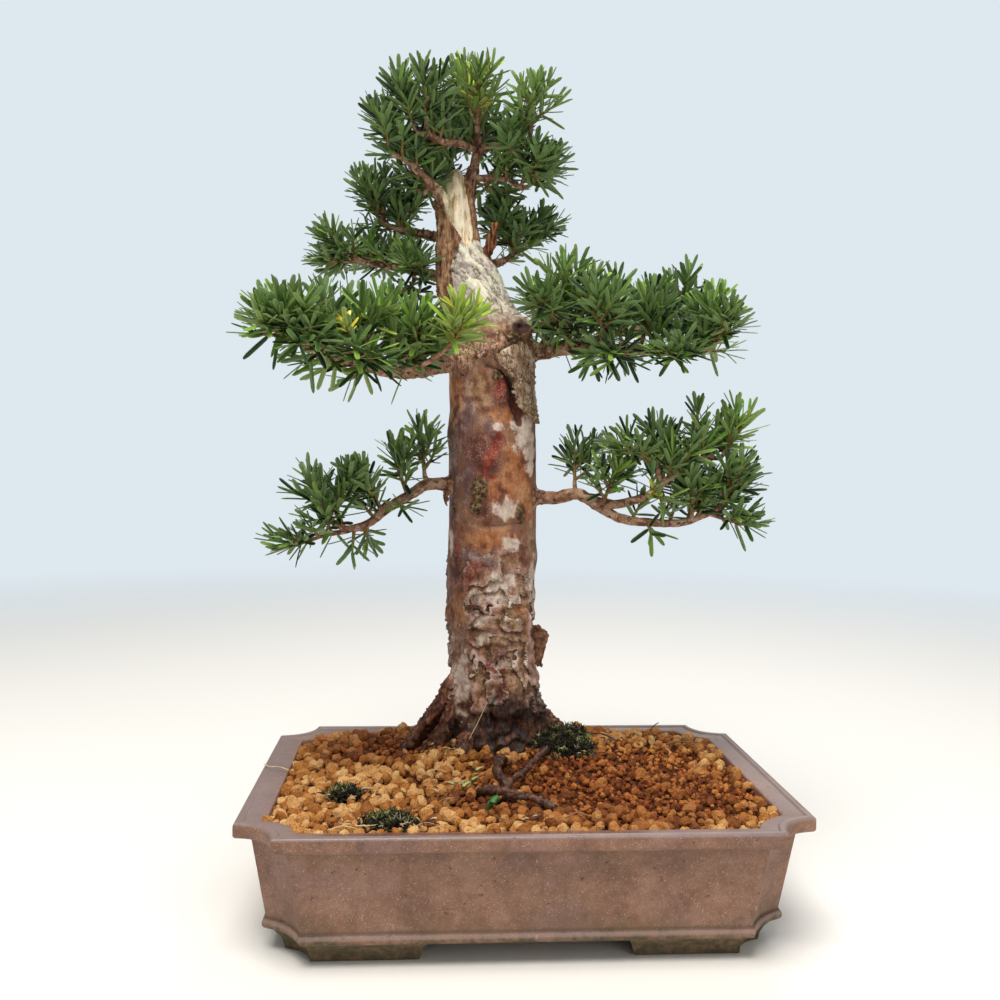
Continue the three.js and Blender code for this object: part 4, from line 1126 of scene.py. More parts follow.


# %% [markdown]
# ### What happened to the bark
#
# The rest of the trunk's look is its history: knots where branches were cut, a hollow beside the flap, a
# maroon patch where bark has just peeled, fissures across the old plates. They are lists of places with a
# size, in millimetres. A hollow, a fissure or a swelling moves the skin along its normal, and a stain only
# leaves its strength on each vertex, for the finish to read. The patches called dark are no stains but
# painted shade in the hollows, and each sunken fissure keeps its depth as well, for painted shade along it.

# %% Hollows, swellings, fissures, stains and painted shade on the trunk
# Centre, radius, push outwards
SWELLINGS = [
    ((-25, 21, 259), 9, 0.6), ((-20, 20, 248), 5.5, 2.0), ((2, 25, 247), 4.5, 1.6), ((-7, 22, 250), 9, 0.7),
    ((1, 27, 371), 5.0, -3.6), ((-4, 23, 322), 6, -3.5), ((-1, 24, 315), 5, -2.5), ((-26, 80, 120), 9, 2.0),
    ((-30, 23, 356), 12, 1.8), ((-14, 21, 356), 9, 1.4), ((-38, 28, 345), 9, 1.6), ((-15, 22, 340), 5, 1.5),
    ((-23, 22, 304), 9, 0.9), ((-28, 23, 242), 8, 1.0), ((-26, 22, 330), 8, 0.8),
    ((-43, 36, 152), 16, -2.2), ((-10, 20, 205), 13, 1.2), ((-33, 26, 196), 12, 1.1),
    ((-28, 24, 174), 8, 1.6), ((-12, 21, 168), 12, 1.0), ((-17, 20, 141), 13, 1.3), ((6, 27, 196), 11, 1.0),
    ((0, 22, 132), 8, 1.6), ((-40, 31, 262), 14, -1.0), ((8, 31, 262), 10, 1.2), ((-44, 34, 238), 12, 1.0),
    ((-6, 20, 190), 9, 0.9),
    ((-16, 21, 106), 7, -3.2), ((1, 22, 104), 8, -3.8), ((-31, 27, 104), 5, -2.0), ((-9, 18, 92), 7, 2.0),
    ((-40, 34, 398), 5, -1.5), ((-20, 28, 392), 6, 1.2), ((-22, 80, 205), 15, 2.0), ((4, 76, 290), 12, -2.5),
    ((-30, 79, 320), 14, 1.8), ((-18, 80, 160), 12, -1.5), ((14, 52, 215), 12, 1.5),
    ((-47, 56, 300), 13, 1.6), ((-24, 79, 262), 7, 2.4), ((6, 74, 232), 5, -2.6),
]
# The push at which a sunken fissure is fully darkened by painted shade
DARK_CREASE = -2.4
# The line of the hollow behind the flap's left edge
FLAP_HOLLOW = [(-22, 22, 344.5), (-14, 22, 341), (-8, 23.5, 335.5), (-5.5, 24.5, 329), (-4, 24.5, 319),
               (-1, 26, 309)]
# Points along the surface, half width, push outwards
FISSURES = [
    ([(-32, 32, 411), (-25, 31, 399), (-21, 31, 395), (-13, 32, 390), (-11, 27, 379)], 1.8, -2.6),
    ([(-29, 31, 412), (-21, 31, 401), (-17, 31, 397), (-10, 32, 391)], 2.2, 1.6),
    ([(-42, 36, 424), (-45, 36, 414), (-47, 37, 402), (-46, 36, 390)], 1.8, -2.4),
    ([(-38, 37, 429), (-42, 37, 435), (-47, 40, 442)], 1.5, -1.6),
    ([(-36, 29, 240), (-18, 21, 238.5), (2, 27, 240)], 2.6, -1.6),
    ([(-8, 22, 301), (-7, 23, 292), (-1, 25, 285), (0, 26, 280), (6, 30, 274), (9, 35, 268)], 1.5, -0.9),
    ([(-5, 22, 302), (-4, 23, 293), (2, 26, 286), (4, 28, 279), (9, 32, 274)], 1.8, 0.8),
    ([(-32, 26, 181.5), (-18, 21, 179), (-8, 22, 180), (7, 30, 183)], 1.6, -1.9),
    ([(-32, 26, 184), (-18, 20, 182), (-8, 21, 183), (7, 29, 186)], 1.8, 1.2),
    ([(-35, 28, 169), (-24, 23, 168), (-14, 21, 167), (-3, 23, 169)], 1.8, -2.4),
    ([(-33, 27, 171.5), (-24, 22, 171), (-14, 20, 170), (-3, 22, 172)], 1.8, 1.4),
    ([(-27, 24, 160), (-26, 23, 152), (-19, 21, 148), (-12, 21, 146)], 1.5, -1.8),
    ([(-33, 26, 214), (-27, 23, 205), (-28, 24, 196)], 1.5, -1.4),
    ([(-31, 25, 178), (-32, 26, 160), (-30, 26, 140), (-29, 26, 118)], 1.5, -1.2),
    ([(10, 33, 205), (9, 32, 190), (10, 33, 170)], 1.4, -1.3),
    ([(-12, 20, 124), (-17, 21, 116), (-16, 20, 104), (-14, 19, 92)], 3, -2.6),
    (FLAP_HOLLOW, 2.8, -3.8),
    ([(-38, 30, 352), (-24, 22, 351), (-16, 21, 356)], 3.2, 2.2),
    ([(-36, 29, 366), (-22, 22, 364), (-8, 22, 368)], 2.0, 1.6),
    ([(-31, 32, 404), (-26, 30, 392), (-19, 28, 384), (-17, 25, 372)], 1.8, -2.2),
    ([(-38, 34, 418), (-36, 33, 404), (-38, 32, 392), (-34, 28, 380)], 1.7, -1.8),
    ([(-22, 36, 414), (-16, 36, 402), (-8, 34, 393), (-4, 31, 384)], 1.7, -2.0),
    ([(-36, 29, 224), (-28, 24, 218), (-14, 21, 219), (0, 24, 216)], 1.4, -1.3),
    ([(-20, 21, 204), (-22, 22, 192), (-19, 21, 184)], 1.4, -1.2),
    ([(2, 25, 214), (3, 26, 200), (1, 25, 188)], 1.4, -1.1),
    ([(-14, 20, 158), (-2, 22, 157), (8, 31, 160)], 1.4, -1.2),
    ([(-24, 22, 138), (-12, 20, 136), (-3, 22, 139)], 1.6, -1.5),
    ([(-40, 34, 150), (-38, 32, 132), (-36, 31, 112)], 1.6, -1.4),
]


def trail(points, size, count):
    """A row of round patches along a line."""
    return [(tuple(smooth_point(points, s / (count - 1))), size) for s in range(count)]


# Centre, half size in x, y and z
STAINS_AND_SHADE = {
    "maroon": [((-27, 23, 290), (10, 14, 13)), ((-22, 22, 281), (10, 12, 10)), ((-42, 35, 211), (5, 12, 18)),
               ((-12, 21, 328), (6, 10, 13)), ((6, 74, 286), (16, 12, 30)), ((-36, 74, 226), (14, 14, 30)),
               ((-28, 24, 104), (8, 14, 12)), ((-16, 20, 296), (7, 8, 5)), ((-12, 21, 150), (9, 8, 8)),
               ((-27, 23, 182), (4, 8, 7)), ((-38, 34, 204), (4, 8, 14))],
    "red": [*trail([(-14, 22, 298), (-17, 22, 286), (-23, 22, 275)], (3, 8, 4), 6),
            ((-31, 25, 205), (5, 8, 7)), ((-9, 20, 130), (3.2, 8, 8)),
            ((-19, 21, 144), (7, 8, 2.5)), ((-22, 22, 271), (7, 8, 2.6)), ((-13, 21, 331), (3, 8, 8)),
            ((2, 76, 280), (6, 9, 14)), ((-10, 21, 141), (6, 8, 3)), ((-9, 20, 119), (3, 8, 7)),
            ((-26, 23, 212), (8, 8, 2)), ((-40, 34, 222), (2.5, 8, 4))],
    "orange": [((-1, 25, 268), (10, 14, 19)), ((-42, 36, 332), (6, 12, 17)), ((-18, 22, 229), (19, 12, 7)),
               ((-39, 33, 184), (6, 10, 13)), ((-4, 22, 284), (6, 9, 8)), ((8, 72, 236), (18, 14, 26)),
               ((-46, 44, 326), (12, 16, 22)), ((-14, 79, 188), (22, 12, 12)), ((4, 28, 182), (6, 8, 4)),
               ((-11, 21, 312), (7, 8, 7)), ((8, 34, 250), (5, 8, 10)), ((-16, 21, 264), (6, 8, 8))],
    "mauve": [((-36, 29, 308), (8, 14, 20)), ((-45, 40, 272), (8, 16, 36)), ((-33, 27, 270), (6, 10, 16)),
              ((-36, 29, 338), (5, 10, 16)), ((-31, 25, 217), (8, 10, 5)), ((-20, 21, 303), (6, 8, 5)),
              ((-20, 80, 316), (18, 12, 26)), ((-42, 60, 176), (12, 18, 40)), ((-18, 21, 214), (10, 8, 5))],
    "pale": [((-13, 21, 304), (4, 8, 2.6)), ((-7, 22, 250), (7, 8, 7)), ((-5, 23, 226), (6, 8, 5)),
             ((-11, 21, 200), (10, 10, 7)), ((-7, 22, 189), (12, 10, 4)), ((-36, 31, 132), (5, 12, 22)),
             ((-32, 25, 357), (15, 12, 4)), ((-14, 22, 360), (8, 10, 3)), ((-3, 23, 146), (3, 8, 4)),
             ((-15, 20, 121), (3, 8, 6)), ((-11, 21, 145), (4, 8, 3)), ((-22, 22, 175), (8, 8, 4)),
             ((-27, 24, 190), (5, 8, 6)), ((-26, 78, 262), (12, 12, 20)), ((5, 29, 300), (8, 12, 14)),
             ((8, 33, 285), (4, 12, 12)), ((0, 25, 304), (5, 8, 6)), ((-25, 23, 161), (3, 8, 4)),
             ((12, 40, 200), (4, 10, 14)), ((-46, 40, 226), (4, 10, 12))],
    "olive": [((6, 30, 196), (6, 12, 12)), ((-26, 23, 331), (8, 12, 12)), ((-18, 21, 132), (6, 8, 4)),
              ((0, 22, 133), (7, 8, 5)), ((-6, 22, 174), (16, 12, 4)), ((-20, 22, 160), (12, 10, 6)),
              ((0, 25, 160), (9, 10, 10)), ((-8, 22, 214), (12, 8, 4)), ((-24, 22, 317), (5, 8, 5)),
              ((-48, 44, 300), (6, 12, 16)), ((12, 38, 230), (5, 12, 14))],
    "tan": [((-22, 24, 364), (22, 14, 8)), ((-2, 26, 358), (10, 12, 12)), ((6, 30, 345), (8, 12, 12))],
    "knot": [((-26, 22, 262), (5, 8, 9.5)), ((-27.5, 22, 250), (4.4, 8, 5)), ((2.5, 27, 246), (3.4, 8, 6)),
             ((-6, 24, 363), (7, 9, 5)), ((-15, 21, 338), (3.4, 8, 3.4)), ((-42, 36, 249), (2, 8, 4)),
             ((-24, 79, 262), (6, 8, 6))],
    # Painted shade in the hollows, in the end of the cut stump and behind the flap's left edge
    "dark": [((1, 26, 371), (6, 9, 5)), ((0, 22, 106), (10, 12, 15)), ((-14, 20, 104), (4, 10, 12)),
             ((6, 74, 232), (4, 8, 4)), *trail(FLAP_HOLLOW[1:3], (1, 6, 1), 12),
             *trail(FLAP_HOLLOW[2:4], (1.5, 6, 2.4), 12), ((-4.6, 24.5, 325), (2.2, 7, 5)),
             ((-2.8, 25, 319), (3, 7, 5)), ((-0.4, 26, 313.5), (3.4, 7, 4)),
             ((-0.2, 27, 308), (2.2, 7, 3.4))],
    "peeled": [((-43, 34, 195), (9, 18, 26)), ((-37, 30, 150), (6, 12, 26)), ((-36, 30, 120), (5, 10, 14))],
    "limb_foot": [((-32, 26, 356), (20, 14, 8)), ((-16, 22, 358), (8, 9, 8))],
}


def near(places, patches):
    """How near each place is to a set of round patches: 1 in the middle of one, 0.5 at its edge and 0 at
    twice its size, so that noise can push the edge about."""
    return np.clip(1 - reach_of(places, patches) / 2, 0, 1)


def from_line(places, points, steps, first=0.0, last=1.0):
    """How far each place is from the curve through some points, or from one stretch of it, in millimetres."""
    line = [np.array(smooth_point(points, first + (last - first) * s / steps)) for s in range(steps + 1)]
    return np.min([np.linalg.norm(places - at, axis=1) for at in line], axis=0)


def swell(piece):
    """Moves the skin along its normals, most in the middle of each swelling, hollow or fissure."""
    places = places_of(piece)
    flat = np.empty(len(places) * 3, dtype=np.float32)
    piece.data.vertex_normals.foreach_get("vector", flat)
    normals = flat.reshape(-1, 3)
    push = np.zeros(len(places))
    for centre, radius, height in SWELLINGS:
        reach = np.linalg.norm(places - centre, axis=1) / radius
        push += height * np.exp(-2 * reach**2)
    crease = np.zeros(len(places))
    for points, half_width, height in FISSURES:
        reach = from_line(places, points, 24) / half_width
        push += height * np.exp(-1.5 * reach**2)
        # Painted shade: a sunken fissure keeps how deep it is, and the finish darkens it by that much.
        if height < 0:
            crease = np.maximum(crease, min(1, height / DARK_CREASE) * np.exp(-2.5 * reach**2))
    set_values(piece, "crease", crease)
    places = places + normals * push[:, None]
    piece.data.vertices.foreach_set("co", (places * MM).astype(np.float32).ravel())
    piece.data.update()


def centre_line(z):
    """The trunk's centre in x at each height."""
    heights, centres = zip(*[(s[0], s[1]) for s in TRUNK_SECTIONS])
    return np.interp(z, heights, centres)


def smooth_step(value, low, high):
    share = np.clip((value - low) / (high - low), 0, 1)
    return share * share * (3 - 2 * share)


# Height, then the left and the right edge of the bare wood, and of the scar below it
BARE_EDGES = [(424, -36, -35.4), (428, -38, -32.5), (436, -43, -31.5), (443, -48, -33), (450, -51, -34),
              (460, -54, -36), (470, -54, -38), (480, -52, -37)]
SCAR_EDGES = [(366, -50, 20), (385, -46, 20), (397, -44.5, 12), (411, -46.5, -6), (419, -44, -14),
              (428, -40, -26), (432, -39, -31)]


def strip(x, z, edges, blur):
    """1 between a left and a right edge whose places are given at some heights, with soft borders. The
    left border is 2 mm wide, and the blur is half the width of the right one."""
    heights, left, right = zip(*edges)
    left, right = np.interp(z, heights, left), np.interp(z, heights, right)
    return smooth_step(x, left - 1, left + 1) * smooth_step(x, right + blur, right - blur)


def limb_reach(places, name):
    """How far each place is from the outer part of a limb's collar, in radii of the limb."""
    points, start, _ = LIMBS[name]
    reach = COLLAR_REACH / (len(points) - 1)
    return from_line(places, points, 8, 0.55 * reach, reach) / start


def mark_bark(piece):
    """Leaves on each vertex where the wood is bare, scarred or dead, where a limb or a root begins, and the
    stains and the painted shade of the hollows."""
    places = places_of(piece)
    x, y, z = places.T
    bare = strip(x, z, BARE_EDGES, 0.8) * smooth_step(y, 54, 46) * smooth_step(z, 423, 426)
    bare = np.maximum(bare, smooth_step(z, 464, 470) * smooth_step(x, -37, -39))
    scar = strip(x, z, SCAR_EDGES, 2) * smooth_step(y, 58, 50)
    scar *= smooth_step(z, 360, 390) * smooth_step(z, 432, 429)
    set_values(piece, "bare", bare)
    set_values(piece, "scar", scar * (1 - bare))
    set_values(piece, "stub", smooth_step(from_line(places, DEAD_STUB[0], 12, 0.35), 6.5, 4.5))
    collar = np.max([smooth_step(limb_reach(places, name), 2.3, 1.5) for name in FROM_TRUNK], axis=0)
    collar = np.maximum(collar, smooth_step(near(places, STAINS_AND_SHADE["limb_foot"]), 0.35, 0.6))
    set_values(piece, "collar", collar * (1 - bare))
    off_axis = np.hypot((x - centre_line(z)) / 30, (y - TRUNK_Y) / 30)
    root = np.clip(off_axis - 1.12, 0, 1) * smooth_step(z, 158, 140)
    set_values(piece, "root", root)
    for name, patches in STAINS_AND_SHADE.items():
        set_values(piece, name, near(places, patches))


# %% [markdown]
# ### Bark as one formula
#
# Yew bark peels in thin layers. The pattern below cuts a cloudy noise into terraces, like the contour lines
# of a map: each terrace is one layer of bark with a ragged edge and a tone of its own. In the upper half
# the terraces are few and drawn out upwards, so the bark looks smooth and streaked. In the lower half they
# are many and wider than they are high, which gives the old, scaly plates. A second rule adds ledges there:
# a saw-tooth along the height, bent by noise, lifts each plate towards its lower edge and then drops back,
# as old bark curls off from below.
#
# The formula is used twice. In a geometry recipe it pushes the skin in and out, and in the finish it colours
# the same layers, with a painted highlight along each raised edge and painted shadow at the foot of each
# layer and under each lifted ledge.

# %% The pattern of the bark
LOWER_BARK = 0.214


def bark_pattern(place):
    """Layers, fibre and grit at a place, as wires that both kinds of tree can use."""
    wobble = place.noise(22 * MM, detail=2)
    lower = (place.axis("Z") + (wobble - 0.5) * 0.09).between(LOWER_BARK + 0.012, LOWER_BARK - 0.012)
    smooth_field = (place * (1.0, 1.0, 0.3)).noise(20 * MM, detail=4, roughness=0.5)
    scaly_field = (place * (1.0, 1.0, 1.6)).noise(18 * MM, detail=5, roughness=0.6)
    field = smooth_field * 7.0 * (1.0 - lower) + scaly_field * 13.0 * lower
    layer = field.math("FLOOR")
    rest = field.math("FRACT")
    terrace = layer + rest.between(0.0, 0.14) - 1.0
    tint = ((layer * 12.9898 + lower * 3.0).math("SINE") * 43.7).math("FRACT").math("ABSOLUTE")
    fibre = (place * (1.0, 1.0, 0.13)).noise(1.7 * MM, detail=4, roughness=0.65)
    grain = (place * (1.0, 1.0, 0.05)).noise(2.2 * MM, detail=4, roughness=0.6)
    flakes = (place * (1.0, 1.0, 1.5)).noise(3.6 * MM, detail=4, roughness=0.62)
    slant = place.vector_math("DOT_PRODUCT", (0.67, 0.0, -0.74), output=1) * 0.28
    over = place.vector_math("DOT_PRODUCT", (0.74, 0.0, 0.67), output=1)
    folded = place.point(slant, place.axis("Y") * 0.6, over).noise(7 * MM, detail=4, roughness=0.6)
    fold = (folded - 0.5).math("ABSOLUTE").between(0.0, 0.055)
    lumps = place.noise(2.6 * MM, detail=4, roughness=0.72)
    wander = (place * (1.0, 1.0, 0.9)).noise(27 * MM, detail=3, roughness=0.45)
    ledge = (place.axis("Z") / 0.023 + (wander - 0.5) * 6.5 + (flakes - 0.5) * 0.7).math("FRACT")
    lift = (1.0 - ledge) * (1.0 - ledge) * ledge.between(0.0, 0.05)
    names = "lower rest terrace tint fibre grain flakes folded fold lumps ledge lift".split()
    values = (lower, rest, terrace, tint, fibre, grain, flakes, folded, fold, lumps, ledge, lift)
    return dict(zip(names, values))


# How high each kind of relief stands
BARK_RELIEF = {
    "Layer": 0.28 * MM, "Lower layer": 0.42 * MM, "Fibre": 0.3 * MM, "Flakes": 3.6 * MM, "Grain": 4.2 * MM,
    "Fold": 1.5 * MM, "Knot": 6.5 * MM, "Rough": 5.5 * MM, "Ledge": 2.6 * MM}


def bark_recipe(material):
    tree, size = new_recipe("bark_relief", BARK_RELIEF)
    skin = size["Geometry"]
    place = skin.node("GeometryNodeInputPosition")
    skin = store(skin, "bark_place", place)
    place = read(skin, "bark_place", "FLOAT_VECTOR")
    bark = bark_pattern(place)
    bare, scar, root = read(skin, "bare"), read(skin, "scar"), read(skin, "root").between(0.0, 0.12)
    collar, loose = read(skin, "collar"), read(skin, "loose")
    knot = read(skin, "knot").between(0.4, 0.55)
    lower = bark["lower"] * (1.0 - read(skin, "peeled").between(0.2, 0.6) * 0.85)
    sound = (1.0 - bare) * (1.0 - scar) * (1.0 - root * 0.6) * (1.0 - loose) * (1.0 - collar)
    rough = place.axis("Z").between(0.372, 0.392) * (1.0 - bare) * (1.0 - scar)
    rough = (rough + root + collar * 0.5).math("MINIMUM", 1.0)
    middle = bark["lower"] * 3.0 + 3.0
    layer = size["Layer"] + bark["lower"] * (size["Lower layer"] - size["Layer"])
    fibres = (bark["fibre"] - 0.5) * (size["Fibre"] * sound + size["Rough"] * rough)
    relief = (bark["terrace"] - middle) * layer * sound + fibres
    relief = relief + (bark["lift"] - 0.3) * size["Ledge"] * lower * sound
    flaky = lower * sound * 0.5 + rough * 0.6 + loose * 0.7 + scar * 0.45
    relief = relief + (bark["flakes"] - 0.5) * size["Flakes"] * flaky
    relief = relief + (bark["grain"] - 0.5) * size["Grain"] * bare
    relief = relief + (bark["fold"] - 0.7) * size["Fold"] * (scar + loose)
    relief = relief + (bark["lumps"] - 0.42) * size["Knot"] * knot
    normal = skin.node("GeometryNodeInputNormal")
    end_recipe(moved(skin, normal * relief), material)
    return tree


# %% [markdown]
# ### Bark of the limbs
#
# Young yew wood is covered in thin, papery scales. They are reddish brown with pale edges, and they lie
# along the limb. The same colours run a little way onto the trunk, round the foot of each limb, so that no
# border shows where the trunk's mesh ends and the limb's begins.

# %% Colour and relief that the limbs share with the trunk
def limb_bark(place):
    """The colour of limb bark at a place, and the height of its scales."""
    warped = place + (place.noise(1 / 140, output=1) - (0.5, 0.5, 0.5)) * (5 * MM)
    scales = warped.cells(3 * MM)
    edge = warped.cells(3 * MM, "DISTANCE_TO_EDGE")
    level = scales.out("Color").axis("X")
    fine = place.noise(1.2 * MM, detail=4, roughness=0.7)
    blotch = place.noise(9 * MM, detail=3)
    colour = ramp(level * 0.5 + blotch * 0.4 + fine * 0.15, (0.28, "5c3323"), (0.45, "8d5c42"),
                  (0.6, "a87a5c"), (0.78, "c2a085"))
    colour = mix(edge.between(0.1, 0.02) * fine.between(0.4, 0.6) * 0.6, colour, "d6bda3")
    colour = mix(edge.between(0.03, 0.0) * 0.7, colour, "3a2218")
    colour = mix(fine.between(0.62, 0.74) * 0.5, colour, "3f271c")
    return colour, level * 0.6 + fine * 0.5 + edge.between(0.0, 0.12) * 0.4


# %% [markdown]
# ### The colour of the bark
#
# From far off the trunk is pinkish brown. Close up no two places match: smooth bark is streaked tan, orange
# and mauve, freshly peeled bark is maroon, and the old scales are grey, cream and olive. Towards the soil
# all of it turns wet and nearly black. On the scar grow pale lichens, and the bare wood above it is the
# colour of straw.
#
# Each layer of the finish is painted over the ones before it, where a value says so. Every border is broken
# up by the same ragged noise, because nothing on a trunk ends in a clean line.

# %% Finish of the bark
def finish_bark():
    material, start = new_finish("bark")
    place = attribute(start, "bark_place", "Vector")
    height = place.axis("Z") / MM
    bark = bark_pattern(place)
    clouds = place.noise(26 * MM, detail=3)
    blobs = place.noise(8 * MM, detail=4, roughness=0.6)
    lower = bark["lower"] * (1.0 - (attribute(start, "peeled") + (blobs - 0.5)).between(0.2, 0.6) * 0.85)
    small = (place * (1.0, 1.0, 0.6)).noise(4 * MM, detail=5, roughness=0.65)
    grit = place.noise(0.9 * MM, detail=3, roughness=0.7)
    streak = bark["fibre"]
    ragged = (blobs - 0.5) * 1.6 + (small - 0.5) * 1.0

    def stain(name, strength=1.0):
        return (attribute(start, name) + ragged * 0.8).between(0.36, 0.64) * strength

    tone = clouds * 0.5 + small * 0.25 + blobs * 0.25
    smooth_bark = ramp(tone, (0.36, "482720"), (0.43, "6f4130"), (0.48, "8d5b3f"),
                       (0.53, "7b594c"), (0.58, "9a6a46"), (0.66, "a8886f"))
    ledge = bark["ledge"]
    tone = (1.0 - ledge) * 0.36 + bark["tint"] * 0.2 + small * 0.34 + blobs * 0.1
    scaly_bark = ramp(tone, (0.28, "3d2416"), (0.38, "6f4a31"), (0.46, "966a48"),
                      (0.52, "ab7d67"), (0.6, "c59b8a"), (0.72, "e0c4b4"))
    colour = mix(lower * 0.95, smooth_bark, scaly_bark)

    def over(colour, name, strength, *stops):
        return mix(stain(name, strength), colour, ramp(small * 0.4 + blobs * 0.6, *stops))

    colour = over(colour, "mauve", 0.8, (0.38, "472f31"), (0.5, "755755"), (0.62, "a38a85"))
    colour = over(colour, "orange", 0.8, (0.38, "7c4021"), (0.5, "a9683a"), (0.62, "c28c5c"))
    colour = over(colour, "olive", 0.7, (0.38, "442b19"), (0.5, "83603e"), (0.62, "b08d66"))
    colour = over(colour, "maroon", 0.85, (0.38, "2b1211"), (0.5, "57261f"), (0.64, "8a4a3a"))
    colour = over(colour, "red", 0.85, (0.38, "4e130c"), (0.5, "7a2417"), (0.64, "a04a34"))
    colour = over(colour, "tan", 0.9, (0.38, "5c3c29"), (0.5, "9c7857"), (0.62, "d2b493"))
    colour = over(colour, "pale", 0.8, (0.38, "a08674"), (0.5, "d0bbaa"), (0.62, "efdfd2"))

    # Painted highlight along the raised edge of each layer of bark.
    rim = bark["rest"].between(0.3, 0.12) * bark["rest"].between(0.0, 0.08) * small.between(0.42, 0.56)
    colour = mix(rim * lower * 0.4, colour, "e2d2bf")
    # Painted shadow at the foot of each layer, just below the edge of the next.
    step = bark["rest"].between(0.84, 0.97) * (lower * 0.3 + 0.12)
    colour = mix(step * small.between(0.36, 0.5), colour, "3a2217")
    curl = ledge.between(0.12, 0.03) * ledge.between(0.0, 0.02) * small.between(0.4, 0.55) * lower
    colour = mix(curl * 0.7, colour, "ecd9c6")
    inner = ledge.between(0.5, 0.8) * blobs.between(0.4, 0.54) * lower * 0.75
    colour = mix(inner, colour, ramp(small, (0.38, "4d2f1b"), (0.6, "a17a50")))
    # Painted shadow under the lifted lower edge of each plate.
    under = ledge.between(0.88, 0.98) * small.between(0.38, 0.5) * lower
    colour = mix(under * 0.85, colour, "26140c")
    colour = mix(streak.between(0.44, 0.32) * 0.22, colour, "4a2b20")
    film = grit.between(0.5, 0.66) * blobs.between(0.44, 0.58)
    colour = mix(film * 0.42, colour, "d8c2ac")
    pores = place.cells(3.4 * MM).between(0.13, 0.07) * clouds.between(0.45, 0.52)
    colour = mix(pores * 0.7, colour, "2f1a12")
    colour = mix(bark["flakes"].between(0.42, 0.33) * lower * 0.6, colour, "452c1e")
    colour = mix(grit.between(0.6, 0.72) * 0.4, colour, "44291f")

    lumps = bark["lumps"]
    knot_tone = ramp(lumps, (0.37, "150c07"), (0.46, "43301c"), (0.54, "6f5535"),
                     (0.62, "9d8157"), (0.7, "c0a67a"))
    knot = (attribute(start, "knot") + ragged * 0.5).between(0.42, 0.54)
    colour = mix(knot * 0.95, colour, knot_tone)
    ring = (attribute(start, "knot") + ragged * 0.4).between(0.3, 0.42) * (1.0 - knot)
    colour = mix(ring * 0.45, colour, "6d3a28")
    # Painted shade in the hollows: near black, and reddish brown low in the flap's hollow.
    hollow = ramp(streak * 0.5 + blobs * 0.5, (0.4, "120906"), (0.6, "3f1c12"))
    rusty = ramp(streak * 0.5 + blobs * 0.5, (0.4, "260d07"), (0.6, "6e2f1c"))
    hollow = mix(height.between(330, 316) * height.between(296, 300), hollow, rusty)
    colour = mix((attribute(start, "dark") + ragged * 0.35).between(0.4, 0.56) * 0.94, colour, hollow)

    patches = place.noise(9 * MM, detail=4, roughness=0.6)
    scar_tone = ramp(bark["folded"] * 0.55 + patches * 0.25 + small * 0.2, (0.38, "84716c"),
                     (0.44, "aa9a8f"), (0.5, "cfc1b0"), (0.55, "eae2c9"),
                     (0.63, "c6c19c"))
    scar_tone = mix(bark["fold"].between(0.4, 0.0) * 0.7, scar_tone, "5d483c")
    scar_tone = mix(bark["flakes"].between(0.4, 0.32) * 0.2, scar_tone, "6d574b")
    scar_tone = mix(bark["flakes"].between(0.57, 0.68) * 0.5, scar_tone, "f4ecd8")
    low_scar = (height + ragged * 16).between(392, 372)
    scar_tone = mix(low_scar * 0.75, scar_tone, ramp(small, (0.36, "5c4037"), (0.62, "a98672")))
    colour = mix((attribute(start, "scar") + ragged * 0.4).between(0.3, 0.6), colour, scar_tone)

    straw = ramp(bark["grain"] * 0.75 + small * 0.25, (0.36, "a17f58"), (0.45, "dcbf98"),
                 (0.53, "f7e4c2"), (0.64, "fff1da"))
    left_side = ((place.axis("X") / MM) + ragged * 4).between(-44, -48)
    high = (height + ragged * 10).between(454, 468)
    lichen = (left_side * 0.7 + high * 0.4) * patches.between(0.38, 0.54)
    straw = mix(lichen.math("MINIMUM", 0.8), straw, ramp(small, (0.35, "6e6440"), (0.6, "b4ad7a")))
    colour = mix((attribute(start, "bare") + ragged * 0.25).between(0.35, 0.6), colour, straw)

    bark_left = (1.0 - attribute(start, "scar")) * (1.0 - attribute(start, "bare"))
    rough = (height + ragged * 22).between(366, 396) * bark_left
    shag = ramp(streak * 0.45 + small * 0.25 + blobs * 0.3, (0.38, "2c1a12"), (0.45, "69432f"),
                (0.52, "9a7350"), (0.6, "c0a078"))
    colour = mix(rough.between(0.3, 0.7) * 0.94, colour, shag)
    flap = ramp(streak * 0.35 + small * 0.35 + bark["folded"] * 0.3, (0.38, "4b3324"),
                (0.45, "8c6f55"), (0.52, "b99d7f"), (0.6, "dfccb2"))
    flap = mix(bark["fold"].between(0.5, 0.0) * 0.8, flap, "402a1d")
    curled = ramp(small * 0.6 + streak * 0.4, (0.38, "4a2c1c"), (0.6, "a5765a"))
    flap = mix(height.between(300, 280), flap, curled)
    colour = mix(attribute(start, "loose").between(0.3, 0.7) * 0.95, colour, flap)
    dead = ramp(streak, (0.4, "3f2114"), (0.5, "7d4a2c"), (0.62, "b27a4e"))
    colour = mix(attribute(start, "stub").between(0.3, 0.7), colour, dead)
    limb_tone, scales = limb_bark(place)
    limb_tone = mix(streak.between(0.5, 0.42) * 0.7, limb_tone, "54382a")
    limb_tone = mix(streak.between(0.53, 0.6) * 0.4, limb_tone, "cda77e")
    collar = (attribute(start, "collar") + ragged * 0.6).between(0.25, 0.75)
    colour = mix(collar, colour, limb_tone)

